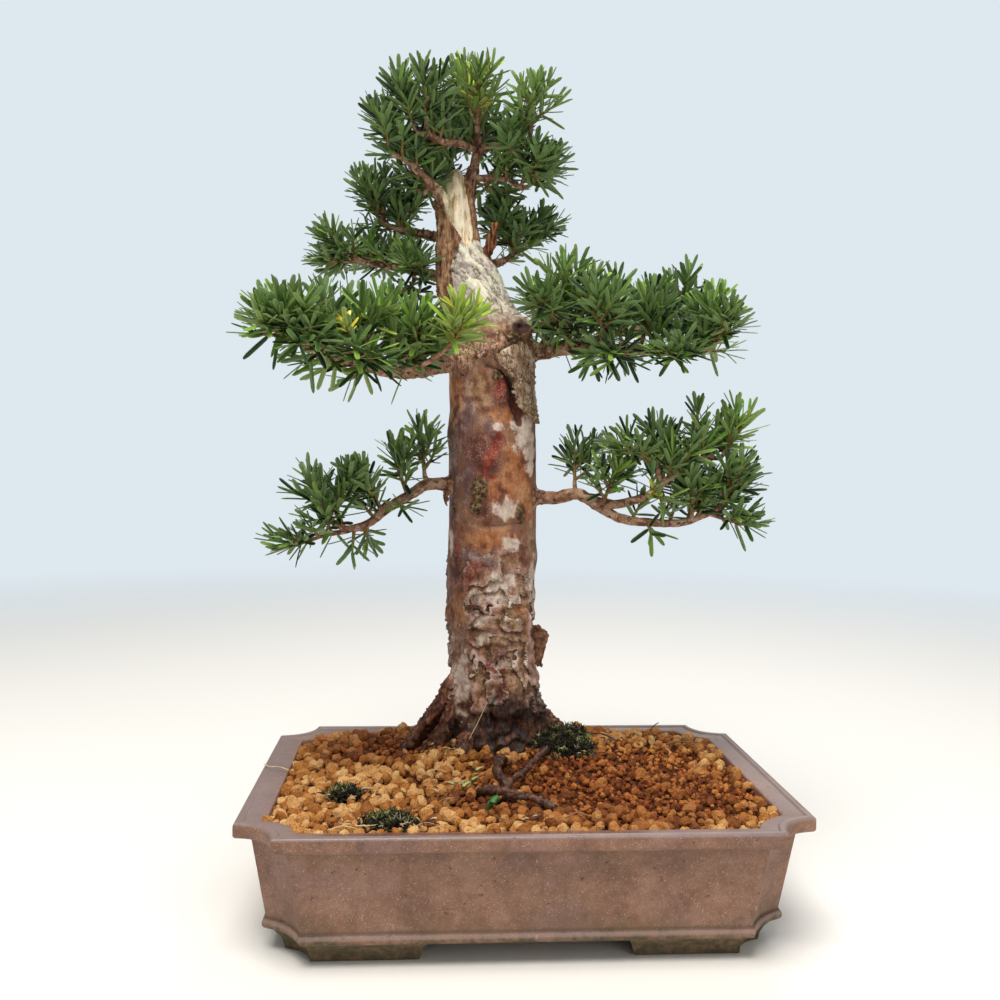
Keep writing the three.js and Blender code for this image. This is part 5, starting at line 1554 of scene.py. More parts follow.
    middle = (place.axis("X") / MM).between(-27, -15)
    wet = (height - middle * 14 + ragged * 18).between(118, 97)
    soaked = ramp(small * 0.5 + streak * 0.3 + blobs * 0.2, (0.38, "0b0504"), (0.5, "27120b"),
                  (0.62, "6a3b26"))
    colour = mix(wet * 0.92, colour, soaked)
    root = (attribute(start, "root") + ragged * 0.1).between(0.01, 0.14)
    root_tone = ramp(small * 0.4 + streak * 0.35 + blobs * 0.25, (0.38, "120805"), (0.46, "391b10"),
                     (0.53, "6b3a25"), (0.62, "a8714e"))
    damp = (height + ragged * 8).between(100, 94) * (place.axis("Y") / MM).between(24, 14)
    root_tone = mix(damp * 0.5, root_tone, "46302c")
    colour = mix(root * 0.94, colour, root_tone)
    green = (height + ragged * 16).between(112, 92) * small.between(0.5, 0.62)
    colour = mix(green * 0.4, colour, "40431f")
    # Painted shade along the sunken fissures, as dark as each is deep.
    crease = (attribute(start, "crease") + ragged * 0.35).between(0.3, 0.85)
    colour = mix(crease * 0.8, colour, "2c170f")

    satin = (1.0 - lower) * (1.0 - rough.between(0.0, 1.0))
    roughness = 0.72 + small * 0.2 - wet * 0.3 - root * 0.15 - satin * 0.14
    relief = streak * (0.1 + rough.between(0.0, 1.0) * 0.5 + root * 0.4) + grit * 0.3
    relief = relief + bark["flakes"] * 0.8 * (lower + rough) + small * 0.5
    relief = relief + bark["terrace"] * (lower * 0.3 + 0.25) + lumps * knot * 1.5
    normal = bump(mix_numbers(collar, relief, scales), 0.8 * MM)
    shade(start, colour, roughness, normal, Specular_IOR_Level=0.32)
    return material


bark_finish = finish_bark()
trunk = make_trunk_skin()
swell(trunk)
mark_bark(trunk)
plates = [make_plate(name, *shape) for name, shape in LOOSE_PLATES.items()]
trunk = merged([trunk, *plates], "trunk")
run_recipe(trunk, bark_recipe(bark_finish), BARK_RELIEF)
trunk.name = "trunk_dressed"
trunk.data.shade_smooth()
ship(trunk, "bark", "tree")

# %% [markdown]
# ## Limbs and twigs
#
# Each limb is a line of points with a thickness at each point. The lines are edges of one mesh, and a
# geometry recipe wraps a tube round them: Curve to Mesh reads the thickness for its scale, and a little
# noise makes the tubes lumpy where buds and old leaf bases were. A limb can then be bent by moving a point
# of its line.
#
# Every spray of needles hangs on a thin twig of its own. The twig leaves its limb where the limb comes
# nearest to the middle of the spray.

# %% The sprays of each pad: the limb that carries each, and the middle of its needles in millimetres
SPRAYS = {
    "crown": {
        "crown_front": ("apex_leader", -29, 20, 529),
        "crown_top": ("apex_leader", -38, 48, 542),
        "crown_left": ("apex_cross_left", -66, 8, 523),
        "crown_far_left": ("apex_left", -96, 26, 503),
        "crown_right": ("apex_cross_right", 8, 18, 521),
        "crown_low_right": ("apex_low_right", 16, 24, 480),
        "crown_low_left": ("apex_left", -82, 44, 484),
        "crown_back": ("apex_back", -34, 86, 524),
        "crown_back_left": ("apex_back", -62, 66, 517),
        "crown_back_right": ("apex_back", -4, 68, 510),
        "jin_side": ("back_right", 12, 80, 438),
    },
    "back_left": {
        "left_high": ("back_left_high", -106, 56, 456),
        "left_high_inner": ("back_left_high", -80, 72, 452),
        "left_mid_far": ("back_left_low", -126, 48, 418),
        "left_mid": ("back_left_low", -96, 74, 421),
        "left_mid_inner": ("back_left_low", -72, 46, 404),
    },
    "upper_left": {
        "left_tip": ("left_upper", -139, -68, 350),
        "left_front_low": ("left_upper", -130, -84, 352),
        "left_ridge": ("left_upper", -121, -40, 372),
        "left_hanging": ("left_upper", -92, -78, 338),
        "left_crest": ("left_upper", -90, -52, 368),
        "left_inner": ("left_upper", -62, -48, 362),
        "left_over_trunk": ("left_upper", -36, -58, 362),
        "left_under": ("left_upper", -64, -32, 340),
        "left_behind": ("left_upper", -88, -6, 372),
    },
    "upper_right": {
        "right_crest": ("right_shoulder", 26, 0, 402),
        "right_inner": ("right_shoulder", 12, -12, 375),
        "right_front": ("right_upper", 44, -20, 382),
        "right_middle": ("right_upper", 84, 16, 389),
        "right_tip": ("right_upper", 121, -4, 382),
        "right_tip_low": ("right_upper", 124, -14, 361),
        "right_hanging": ("right_upper", 54, -16, 348),
        "right_hanging_tip": ("right_upper", 94, -18, 350),
        "right_back_inner": ("right_back", 66, 60, 396),
        "right_back_tip": ("right_back", 118, 54, 392),
    },
    "lower_left": {
        "left_lower_inner": ("left_lower", -66, 32, 296),
        "left_lower_middle": ("left_lower", -86, 20, 281),
        "left_lower_outer": ("left_lower", -112, 8, 264),
        "left_lower_end": ("left_lower", -127, 0, 249),
        "left_lower_droop": ("left_lower_tip", -142, -8, 229),
    },
    "lower_right": {
        "right_lower_inner": ("right_lower", 39, 36, 290),
        "right_lower_middle": ("right_lower_twig", 72, -8, 281),
        "right_lower_low": ("right_lower", 62, 0, 272),
        "right_lower_peak": ("right_lower_riser", 120, 0, 297),
        "right_lower_high": ("right_lower_fork", 144, -4, 306),
        "right_lower_outer": ("right_lower", 139, -12, 279),
        "right_lower_end": ("right_lower", 147, 10, 260),
        "right_lower_front": ("right_lower", 108, -12, 262),
    },
}
# Sprays that fill the pads between those
MORE_SPRAYS = {
    "crown": {
        "crown_behind_left": ("apex_left", -72, 62, 474),
        "crown_behind_up": ("apex_leader", -60, 66, 488),
        "crown_over_jin": ("apex_back", -43, 70, 500),
        "crown_over_left": ("apex_back", -56, 74, 512),
        "crown_jin_right": ("apex_low_right", -20, 62, 466),
        "crown_flat_right": ("apex_low_right", 24, 46, 480),
        "crown_left_gap": ("apex_cross_left", -84, 18, 517),
        "jin_inner": ("back_right", -14, 74, 447),
        "jin_low": ("back_right", -2, 76, 432),
    },
    "back_left": {
        "crown_behind_low": ("back_left_high", -93, 58, 462),
        "back_mid_outer": ("back_left_low", -117, 62, 414),
        "back_mid_inner": ("back_left_low", -88, 64, 414),
        "back_low_inner": ("back_left_low", -72, 60, 400),
        "back_low_outer": ("back_left_low", -128, 54, 406),
    },
    "upper_left": {
        "left_bottom": ("left_upper", -130, -72, 345),
    },
    "upper_right": {
        "right_gap_inner": ("right_upper", 24, 6, 376),
        "right_gap_middle": ("right_upper", 52, 8, 374),
        "right_gap_outer": ("right_upper", 80, 2, 372),
    },
    "lower_left": {
        "left_lower_gap": ("left_lower", -97, 8, 258),
    },
    "lower_right": {
        "right_lower_fill": ("right_lower", 114, 4, 257),
        "right_lower_gap": ("right_lower_fork", 94, -6, 278),
        "right_lower_droop": ("right_lower", 143, 2, 245),
    },
}
SPRAY_PLACES = {name: place for pads in (SPRAYS, MORE_SPRAYS) for pad in pads.values()
                for name, place in pad.items()}
STEM_LENGTH = 25
STEM_RADIUS = 1.3
STEM_SIDES = 5
# The gap between two points of a limb's line
LINE_STEP = 2.5
LIMB_SIZES = {"Sides": 10, "Lump size": 5 * MM, "Lump height": 0.6}


# %% Lines of the limbs and twigs
def new_lines(name, lines, labels):
    """Open lines as one mesh of edges. A point is its place in millimetres, then a number for each label."""
    points = [point for line in lines for point in line]
    edges = []
    first = 0
    for line in lines:
        edges += [(i, i + 1) for i in range(first, first + len(line) - 1)]
        first += len(line)
    piece = new_piece(name, [point[0] for point in points], [], edges)
    for k, label in enumerate(labels):
        set_values(piece, label, [point[k + 1] for point in points])
    return piece


def tapering(points, start, end):
    """A smooth line with a thickness at each of its points."""
    steps = max(3, round(length_of(points) / LINE_STEP))
    shares = [s / steps for s in range(steps + 1)]
    return [(smooth_point(points, share), start + (end - start) * share) for share in shares]


def spray_axis(name):
    """Where a spray's stem leaves its limb, its foot, its direction, and the limb's radius there."""
    limb, *middle = SPRAY_PLACES[name]
    middle = Vector(middle)
    points, start, end = LIMBS[limb]
    share = min([1.0] + [s / 100 for s in range(20, 101, 4)],
                key=lambda s: (smooth_point(points, s) - middle).length)
    origin = smooth_point(points, share)
    radius = start + (end - start) * share
    lift = -0.15 if "hanging" in name or "droop" in name else 0.35
    way = ((middle - origin).normalized() + Vector((0, 0, lift))).normalized()
    foot = middle - way * 0.88 * STEM_LENGTH
    if (foot - origin).dot(way) < radius + 3:
        foot = origin + way * (radius + 3)
    return origin, foot, way, radius


def twig_line(name):
    """The twig that carries a spray, from its limb to the foot of the spray. A long one sags a little."""
    origin, foot, way, radius = spray_axis(name)
    bend = foot - way * 4
    span = (foot - origin).length
    points = [origin, bend, foot]
    if span >= 12:
        points.insert(1, origin.lerp(bend, 0.5) + Vector((0, 0, -0.08 * span)))
    return tapering(points, min(1.9, radius), STEM_RADIUS)


def tube_recipe(material):
    """Wraps a lumpy tube round each line, as thick as the line's own girth."""
    tree, size = new_recipe("limbs", LIMB_SIZES)
    start = size["Geometry"]
    curves = start.node("GeometryNodeMeshToCurve", inputs={"Mesh": start})
    girth = read(start, "girth")
    tubes = tubes_along(curves, girth, size["Sides"])
    place = start.node("GeometryNodeInputPosition")
    normal = start.node("GeometryNodeInputNormal")
    lump = place.noise(size["Lump size"]) + place.noise(1 / 300, detail=3) * 0.6
    push = (lump - 0.8) * size["Lump height"] * girth
    end_recipe(moved(tubes, normal * push), material)
    return tree


# %% [markdown]
# Limbs wear the same scales that the trunk wears round their feet. The thinnest twigs are this year's and
# last year's growth, and turn from brown to green.

# %% Finish of the limbs and twigs
def finish_limbs():
    material, start = new_finish("limb_bark")
    place = object_place(start)
    colour, relief = limb_bark(place)
    fine = place.noise(1.2 * MM, detail=4, roughness=0.7)
    young = (attribute(start, "girth") / MM).between(1.6, 1.1)
    colour = mix(young * 0.7, colour, ramp(fine, (0.35, "6b4a2a"), (0.65, "7d7a40")))
    shade(start, colour, 0.62 + fine * 0.2, bump(relief, 0.6 * MM))
    return material


limb_finish = finish_limbs()
limb_lines = [tapering(points, start * 1.04, end) for points, start, end in LIMBS.values()]
limb_lines += [twig_line(name) for name in SPRAY_PLACES]
limbs = new_lines("limbs", [[(p, girth * MM) for p, girth in line] for line in limb_lines], ["girth"])
run_recipe(limbs, tube_recipe(limb_finish), LIMB_SIZES)
limbs.data.shade_smooth()
ship(limbs, "bark", "tree")

# %% [markdown]
# ## Needles
#
# A yew needle is a flat strap about 18 mm long with a blunt point and a short, narrow foot. Every needle
# here is the same small mesh of 46 triangles, copied some eight thousand times. It is built with length,
# width and thickness of one, so the recipe can give each copy its own size.
#
# Three values are kept on it: how far along, how far across, and whether a point is on the underside. They
# tell the finish where the margin, the midrib and the tip of each needle are.

# %% One needle
BLADE_RINGS = [(0, 0.2), (0.06, 0.5), (0.18, 0.9), (0.5, 1), (0.84, 0.95), (0.96, 0.6)]


def make_blade():
    points = []
    marks = []
    for along, width in BLADE_RINGS:
        half, thick = 0.5 * width, 0.5 * (0.4 + 0.6 * width)
        points += [(-half, along, 0), (0, along, thick), (half, along, 0), (0, along, -thick)]
        marks += [(along, -1, 0.5), (along, 0, 0), (along, 1, 0.5), (along, 0, 1)]
    points.append((0, 1, 0))
    marks.append((1, 0, 0.5))
    faces = [(3, 2, 1, 0)]
    rings = len(BLADE_RINGS)
    for r in range(rings - 1):
        for i in range(4):
            a, b = 4 * r + i, 4 * r + (i + 1) % 4
            faces.append((a, b, b + 4, a + 4))
    last = 4 * (rings - 1)
    faces += [(last + i, last + (i + 1) % 4, len(points) - 1) for i in range(4)]
    blade = new_piece("blade", [tuple(v / MM for v in point) for point in points], faces)
    for k, label in enumerate(("blade_along", "blade_across", "blade_under")):
        set_values(blade, label, [mark[k] for mark in marks])
    return blade


# %% [markdown]
# ### Where needles grow
#
# Needles leave the shoot in a spiral, one every 137.5 degrees. That golden angle never repeats, so no
# needle stands right above another. Needles near the foot of a shoot stand out square, those near its tip
# point forwards round the bud. On level shoots each needle twists at its foot until it lies nearly flat,
# which makes the two rows that yew is known for.
#
# A spray is a leading shoot, and side shoots that fork from it and are shorter the nearer they start to its
# tip.

# %% The shoots of a spray
# Keeps a whole number within 32 bits
MASK = 0xffffffff
GOLDEN_ANGLE = 2.39996
SIDE_SHOOTS = 4
SHOOT_STEPS = 8


def seeded_random(seed):
    """Draws from 0 to 1 in the order that the solids use, so that the side shoots lie on theirs."""
    state = seed & MASK

    def draw():
        nonlocal state
        state = (state + 0x6D2B79F5) & MASK
        t = ((state ^ (state >> 15)) * (1 | state)) & MASK
        t = ((t + (((t ^ (t >> 7)) * (61 | t)) & MASK)) ^ t) & MASK
        return ((t ^ (t >> 14)) & MASK) / (MASK + 1)
    return draw


def seed_of(name):
    """A whole number that is always the same for the same name."""
    seed = 5
    for letter in name:
        seed = (seed * 31 + ord(letter)) & MASK
    return seed


def frame_of(way):
    """Two directions square to a shoot: a level one and one that points to its upper side."""
    across = Vector((0, 0, 1)).cross(way)
    across = Vector((1, 0, 0)) if across.length < 0.05 else across.normalized()
    return across, way.cross(across).normalized()


def shoots_of(name):
    """Foot and tip of each shoot of a spray."""
    _, foot, way, _ = spray_axis(name)
    across, over = frame_of(way)
    tip = foot + way * STEM_LENGTH
    draw = seeded_random(seed_of(name) + 1)
    turn = 0.4 * draw() if draw() < 0.5 else math.pi - 0.4 * draw()
    fork = foot.lerp(tip, 0.3)
    side = (way * 0.75 + (across * math.cos(turn) + over * math.sin(turn)) * 0.66).normalized()
    shoots = [(foot, tip), (fork, fork + side * 0.72 * STEM_LENGTH)]
    chances = random.Random(name)
    for k in range(SIDE_SHOOTS):
        share = 0.02 + 0.74 * k / SIDE_SHOOTS
        turn = GOLDEN_ANGLE * k + turn + chances.uniform(-0.4, 0.4)
        tilt = math.radians(62 - 30 * share + chances.uniform(-12, 12))
        out = across * math.cos(turn) + over * math.sin(turn) * 0.65
        side = way * math.cos(tilt) + out * math.sin(tilt) + Vector((0, 0, 0.12))
        start = foot.lerp(tip, share)
        shoots.append((start, start + side.normalized() * chances.uniform(14, 19) * (1 - 0.25 * share)))
    return shoots


def short_shoots(limb, low, high, count):
    """Short shoots that break from the bark of a limb between two shares of its length. Most stand on its
    upper and far side, since a gardener thins the front to let the limb be seen."""
    points = LIMBS[limb][0]
    chances = random.Random("short shoots of " + limb)
    shoots = []
    for k in range(count):
        share = low + (high - low) * (k + chances.random()) / count
        at = smooth_point(points, min(share, 0.98))
        along = (smooth_point(points, min(share, 0.98) + 0.02) - at).normalized()
        across, over = frame_of(along)
        turn = chances.uniform(0, 2 * math.pi)
        out = across * math.cos(turn) + over * math.sin(turn) + Vector((0, 0.25, 0.6))
        way = (along * chances.uniform(0.1, 0.9) + out.normalized()).normalized()
        shoots.append((at + way, at + way * chances.uniform(12, 21)))
    return shoots


def shoot_line(foot, tip, flat, fresh, vigour):
    """A shoot as a line that lifts its tip a little, with the values that its needles read."""
    rise = Vector((0, 0, 0.1 * (tip - foot).length))
    shares = [s / SHOOT_STEPS for s in range(SHOOT_STEPS + 1)]
    return [(foot.lerp(tip, share) + rise * share**2, share, flat, fresh, vigour) for share in shares]


# %% [markdown]
# The recipe below turns lines into leafy shoots. It walks along each line in steps, gives every step its
# turn of the spiral, and lays a copy of the needle there: Axes to Rotation points the copy's length along
# the needle's way and its upper face towards the tip of the shoot. Needles that would end inside the trunk
# or beyond the tree's reach are left out.

# %% The recipe for leafy shoots
# What the needles of all pads share: their shape, and the box that none of them leaves
ALL_NEEDLES = {"Thickness": 0.75 * MM, "Spread at foot": math.radians(76), "Spread at tip": math.radians(24),
               "Bare foot": 0.12, "Droop": 0.14, "Half width": 0.171, "Half depth": 0.115, "Top": 0.57}
# The middle of the trunk, the radius that stays clear of needles below and above the cut, and how far
# the trunk leans to the left above it
TRUNK_MIDDLE = (-16 * MM, TRUNK_Y * MM, 0.0)
CLEAR_BELOW = 31
CLEAR_ABOVE = 14
LEAN_ABOVE = 24
# The heights in metres between which the trunk narrows at its old cut, and the height of its top
CUT_HEIGHTS = (0.385, 0.43)
TRUNK_TOP = 0.47


def needle_recipe(blade, blade_material, stem_material):
    own_sizes = {"Length": 0.0, "Width": 0.0, "Spacing": 0.0, "Seed": 0}
    tree, size = new_recipe("leafy_shoots", ALL_NEEDLES | own_sizes)
    start = size["Geometry"]
    lines = start.node("GeometryNodeMeshToCurve", inputs={"Mesh": start})
    spaced = {"Curve": lines, "Length": size["Spacing"]}
    points = start.node("GeometryNodeCurveToPoints", {"mode": "LENGTH"}, spaced)
    points = store(points, "way", points.out("Tangent"))
    along = read(start, "way", "FLOAT_VECTOR")
    share, flat = read(start, "share"), read(start, "flat")
    seed = size["Seed"]

    level = start.point(0.0, 0.0, 1.0).vector_math("CROSS_PRODUCT", along) + (0.0004, 0.0, 0.0)
    across = level.vector_math("NORMALIZE")
    over = along.vector_math("CROSS_PRODUCT", across)
    number = start.node("GeometryNodeInputIndex")
    turn = number * GOLDEN_ANGLE + chance(start, -0.3, 0.3, seed)
    rise = turn.math("SINE") * (1.0 - flat * 0.72)
    out = (across * turn.math("COSINE") + over * rise).vector_math("NORMALIZE")
    opened = (share - size["Bare foot"]) / (1.0 - size["Bare foot"])
    spread = size["Spread at foot"] + (size["Spread at tip"] - size["Spread at foot"]) * opened
    spread = spread + chance(start, -0.14, 0.14, seed + 1.0)
    way = along * spread.math("COSINE") + out * spread.math("SINE") + (0.0, 0.0, 0.13)
    way = way.vector_math("NORMALIZE")
    face = along * (1.0 - flat) + over * (flat + 0.15)
    face = face + chance(start, (-0.7, -0.7, -0.7), (0.7, 0.7, 0.7), seed)
    belly = ((opened * 0.78 + 0.14) * math.pi).math("SINE")
    length = size["Length"] * (belly * 0.3 + 0.72) * read(start, "vigour")
    length = length * chance(start, 0.9, 1.08, seed + 2.0)

    place = start.node("GeometryNodeInputPosition")
    tip = place + way * length
    above_cut = tip.axis("Z").between(*CUT_HEIGHTS)
    from_trunk = (tip - TRUNK_MIDDLE) * (1.0, 1.0, 0.0) + start.point(above_cut * (LEAN_ABOVE * MM), 0.0, 0.0)
    clear = above_cut * ((CLEAR_ABOVE - CLEAR_BELOW) * MM) + CLEAR_BELOW * MM
    inside = clear.math("GREATER_THAN", from_trunk.vector_math("LENGTH", output=1))
    inside = inside * tip.axis("Z").math("LESS_THAN", TRUNK_TOP)
    beyond = tip.axis("X").math("ABSOLUTE").math("GREATER_THAN", size["Half width"])
    beyond = beyond + tip.axis("Y").math("ABSOLUTE").math("GREATER_THAN", size["Half depth"])
    beyond = beyond + tip.axis("Z").math("GREATER_THAN", size["Top"])
    bare = share.math("LESS_THAN", size["Bare foot"])
    points = points.node("GeometryNodeDeleteGeometry", {"domain": "POINT"},
                         {"Geometry": points, "Selection": inside + beyond + bare})

    turned = start.node("FunctionNodeAxesToRotation", {"primary_axis": "Y", "secondary_axis": "Z"},
                        {"Primary Axis": way, "Secondary Axis": face})
    wide = size["Width"] * chance(start, 0.88, 1.08, seed + 3.0)
    scale = start.point(wide, length, size["Thickness"])
    points = store(points, "tone", chance(start, 0.0, 1.0, seed + 4.0))
    points = store(points, "top_way", face.vector_math("NORMALIZE") * length)
    points = store(points, "curl", chance(start, -0.5, 1.0, seed + 5.0))
    shape = start.node("GeometryNodeObjectInfo", inputs={"Object": blade}, output=4)
    real = copies_on(points, shape, turned, scale)
    bend = read(real, "blade_along") ** 2.0 * read(real, "curl") * size["Droop"]
    leaves = finished(moved(real, read(real, "top_way", "FLOAT_VECTOR") * bend * -1.0), blade_material)

    girth = (share * -0.42 + 1.0) * (STEM_RADIUS * MM)
    stems = finished(tubes_along(lines, girth, STEM_SIDES), stem_material)
    end_recipe(joined(leaves, stems))
    return tree


# %% [markdown]
# ### Green of the needles
#
# The upper face is dark and waxy, with a groove along its middle and a paler margin. The underside carries
# two paler bands. No two needles are the same green, and young shoots are yellow-green all over.

# %% Finish of the needles and their stems
def finish_needles():
    material, start = new_finish("needles")
    place = object_place(start)
    tone = attribute(start, "tone")
    fresh = attribute(start, "fresh")
    along = attribute(start, "blade_along")
    side = attribute(start, "blade_across").math("ABSOLUTE")
    under = attribute(start, "blade_under").between(0.5, 0.52)
    clouds = place.noise(28 * MM, detail=2)
    fine = place.noise(0.8 * MM, detail=3)
    share = attribute(start, "share")
    shift = tone * 0.86 + clouds * 0.6 + share * 0.3 - 0.43 + fresh * 0.1
    shift = shift - place.axis("Z").between(0.44, 0.49) * 0.13
    top = ramp(shift, (0.12, "0f1f12"), (0.36, "223c20"), (0.58, "476a2e"),
               (0.84, "7f9f42"))
    young = ramp(tone * 0.3 + fresh * 0.7, (0.15, "5c9636"), (0.5, "86b540"), (0.75, "b7c948"),
                 (1.0, "e0cc38"))
    top = mix(fresh.between(0.15, 0.7), top, young)
    top = mix(side.between(0.2, 0.04) * 0.35, top, "1c3519")
    top = mix(side.between(0.6, 0.95) * 0.5, top, "8ea455")
    below = mix(fresh, "6d8a52", "a5b565")
    below = mix(side.between(0.3, 0.1) * 0.5, below, "54743f")
    colour = mix(under, top, below)
    colour = mix(along.between(0.12, 0.0) * 0.5, colour, "8a9248")
    colour = mix(along.between(0.955, 1.0) * tone.between(0.55, 0.9) * 0.6, colour, "8a6a35")
    roughness = 0.3 + fine * 0.16 + under * 0.14
    shade(start, colour, roughness, bump(fine, 0.1 * MM, 0.5), Specular_IOR_Level=0.4)
    return material


def finish_stems():
    material, start = new_finish("young_stems")
    place = object_place(start)
    fine = place.noise(1.4 * MM, detail=3, roughness=0.65)
    colour = ramp(fine + attribute(start, "share") * 0.35, (0.35, "6e3f24"), (0.55, "8a6238"),
                  (0.85, "7f8a42"))
    shade(start, colour, 0.6, bump(fine, 0.25 * MM))
    return material


# %% [markdown]
# ### Dressing the sprays
#
# The sprays are gathered into pads, one mesh for each, as a gardener would name them. A few shoots catch
# the eye in the tree because they are fresh: the yellow tuft in the middle of the left pad, and bright tips
# in the crown and the pads on the right.

# %% Grow the needles of each pad
# Limb, from and to which share of it, and how many short shoots
SHORT_SHOOTS = {
    "crown": [("apex_left", 0.3, 1, 8), ("apex_leader", 0.55, 1, 8), ("apex_cross_left", 0.3, 1, 8),
              ("apex_cross_right", 0.3, 1, 8), ("apex_low_right", 0.3, 1, 6), ("apex_back", 0.1, 1, 8),
              ("back_right", 0.4, 1, 5)],
    "back_left": [("back_left_high", 0.3, 1, 8), ("back_left_low", 0.3, 1, 12)],
    "upper_left": [("left_upper", 0.22, 1, 30)],
    "upper_right": [("right_upper", 0.15, 1, 22), ("right_shoulder", 0.3, 1, 7), ("right_back", 0.3, 1, 12)],
    "lower_left": [("left_lower", 0.5, 1, 10), ("left_lower_tip", 0.3, 1, 2)],
    "lower_right": [("right_lower", 0.66, 1, 7), ("right_lower_fork", 0.42, 1, 7),
                    ("right_lower_riser", 0.4, 1, 3), ("right_lower_twig", 0.3, 1, 3)],
}
# How fresh the shoots of some sprays are
FRESH = {
    "crown_front": 0.95, "crown_top": 0.45, "crown_right": 0.4, "crown_jin_right": 0.4, "left_crest": 0.45,
    "left_over_trunk": 0.7, "left_tip": 0.35, "left_front_low": 0.3, "left_inner": 0.4, "right_crest": 0.45,
    "right_middle": 0.3, "right_tip": 0.4, "left_lower_inner": 0.2, "right_lower_high": 0.5,
    "right_lower_peak": 0.3, "right_lower_low": 0.5}
# Foot, tip, freshness and size of single tufts that catch the eye
TUFTS = [
    ("upper_left", (-103, -82, 349), (-106, -84, 357), 1.3, 0.5),
    ("lower_right", (84, -8, 262), (83, -14, 266), 0.9, 0.45),
    ("upper_right", (38, 0, 386), (44, -6, 398), 0.6, 0.9),
]
# Length and width of a needle, and how far apart needles stand along a shoot, in millimetres
NEEDLE_SIZES = {
    "crown": (17, 2.7, 1.0), "back_left": (15.5, 2.5, 1.05), "upper_left": (19.5, 3.1, 1.15),
    "upper_right": (18.5, 3.0, 1.15), "lower_left": (18, 2.8, 1.3), "lower_right": (18.5, 2.9, 1.25)}


def dressed_line(foot, tip, fresh, chances):
    """A shoot whose needles lie flatter the more level it grows."""
    flat = 0.85 * float(smooth_step(abs((tip - foot).normalized().z), 0.75, 0.3))
    return shoot_line(foot, tip, flat, min(1, fresh), chances.uniform(0.86, 1.08))


def pad_lines(pad):
    """All the shoots of a pad: those of its sprays, the short ones along its limbs, and single tufts."""
    lines = []
    for name in (*SPRAYS[pad], *MORE_SPRAYS[pad]):
        chances = random.Random("age of " + name)
        fresh = FRESH.get(name, 0.12)
        for k, (foot, tip) in enumerate(shoots_of(name)):
            shoot_fresh = fresh * (1.1 if k == 0 else chances.uniform(0.2, 1.2))
            lines.append(dressed_line(foot, tip, shoot_fresh, chances))
    for limb, low, high, count in SHORT_SHOOTS[pad]:
        chances = random.Random("age on " + limb)
        lines += [dressed_line(foot, tip, chances.choice((0, 0, 0.1, 0.5)), chances)
                  for foot, tip in short_shoots(limb, low, high, count)]
    for owner, foot, tip, fresh, vigour in TUFTS:
        if owner == pad:
            lines.append(shoot_line(Vector(foot), Vector(tip), 0, fresh, vigour))
    return lines


needle_finish = finish_needles()
blade = make_blade()
leafy = needle_recipe(blade, needle_finish, finish_stems())
for k, (pad, sprays) in enumerate(SPRAYS.items()):
    lines = pad_lines(pad)
    needles = new_lines("needles_" + pad, lines, ["share", "flat", "fresh", "vigour"])
    length, width, spacing = (size * MM for size in NEEDLE_SIZES[pad])
    own = {"Length": length, "Width": width, "Spacing": spacing, "Seed": 10 * k}
    run_recipe(needles, leafy, ALL_NEEDLES | own)
    ship(needles, "needles", *["spray_" + name for name in sprays])
bpy.data.objects.remove(blade)

# %% [markdown]
# ## Moss and litter
#
# Moss has settled where the soil stays damp: a large cushion against the foot of the trunk on the right,
# and two small ones in front on the left. Moss is a crowd of tiny leafy stems, so each cushion is a lumpy
# dark body with a recipe that plants sprigs all over it. A sprig is four short blades of eighteen triangles
# each.

# %% One sprig of moss
def make_sprig():
    blades = []
    for k in range(4):
        turn = math.radians(90 * k + 20)
        lean = Vector((math.cos(turn), math.sin(turn), 0))
        points = [lean * 0.02, lean * 0.22 + Vector((0, 0, 0.5)), lean * 0.62 + Vector((0, 0, 0.9))]
        rings = []
        for at, girth in zip(points, (0.07, 0.11, 0.02)):
            ring = [at + Vector((math.cos(t), math.sin(t), 0)) * girth for t in (0, 2.1, 4.2)]
            rings.append([tuple(point / MM) for point in ring])
        blades.append(new_piece("moss_blade", *loft(rings)))
    sprig = merged(blades, "sprig")
    set_values(sprig, "blade_along", [vertex.co.z / 0.9 for vertex in sprig.data.vertices])
    return sprig


# %% A recipe that plants sprigs
def moss_recipe(sprig, material):
    tree, size = new_recipe("moss", {"Closest": 0.0, "Length": 0.0, "Seed": 0})
    cushion = size["Geometry"]
    dots = scattered(cushion, size["Closest"], SPRIG_CROWD, size["Seed"])
    up = dots.out("Normal") + chance(dots, (-0.55, -0.55, -0.2), (0.55, 0.55, 0.7), 1)
    dots = store(dots, "tone", chance(dots, 0.0, 1.0, 2))
    turned = cushion.node("FunctionNodeAxesToRotation", {"primary_axis": "Z", "secondary_axis": "X"}, {
        "Primary Axis": up, "Secondary Axis": chance(cushion, (-1.0, -1.0, -1.0), (1.0, 1.0, 1.0), 3)})
    shape = cushion.node("GeometryNodeObjectInfo", inputs={"Object": sprig}, output=4)
    scale = chance(cushion, 0.6, 1.3, 4) * size["Length"]
    end_recipe(joined(cushion, copies_on(dots, shape, turned, scale)), material)
    return tree


def finish_moss():
    material, start = new_finish("moss")
    place = object_place(start)
    patches = place.noise(7 * MM, detail=3)
    fine = place.noise(1.2 * MM, detail=3)
    age = attribute(start, "tone") * 0.4 + attribute(start, "blade_along") * 0.35 + (patches - 0.5) * 1.6
    colour = ramp(age + (fine - 0.5) * 0.5, (0.1, "1a150d"), (0.38, "3a3420"), (0.58, "585a34"),
                  (0.74, "869052"), (0.9, "b9bd88"))
    dry = attribute(start, "tone").between(0.9, 0.95) * attribute(start, "blade_along")
    colour = mix(dry * 0.8, colour, "c3ba98")
    shade(start, colour, 0.8, bump(fine, 0.6 * MM), Specular_IOR_Level=0.25)
    return material


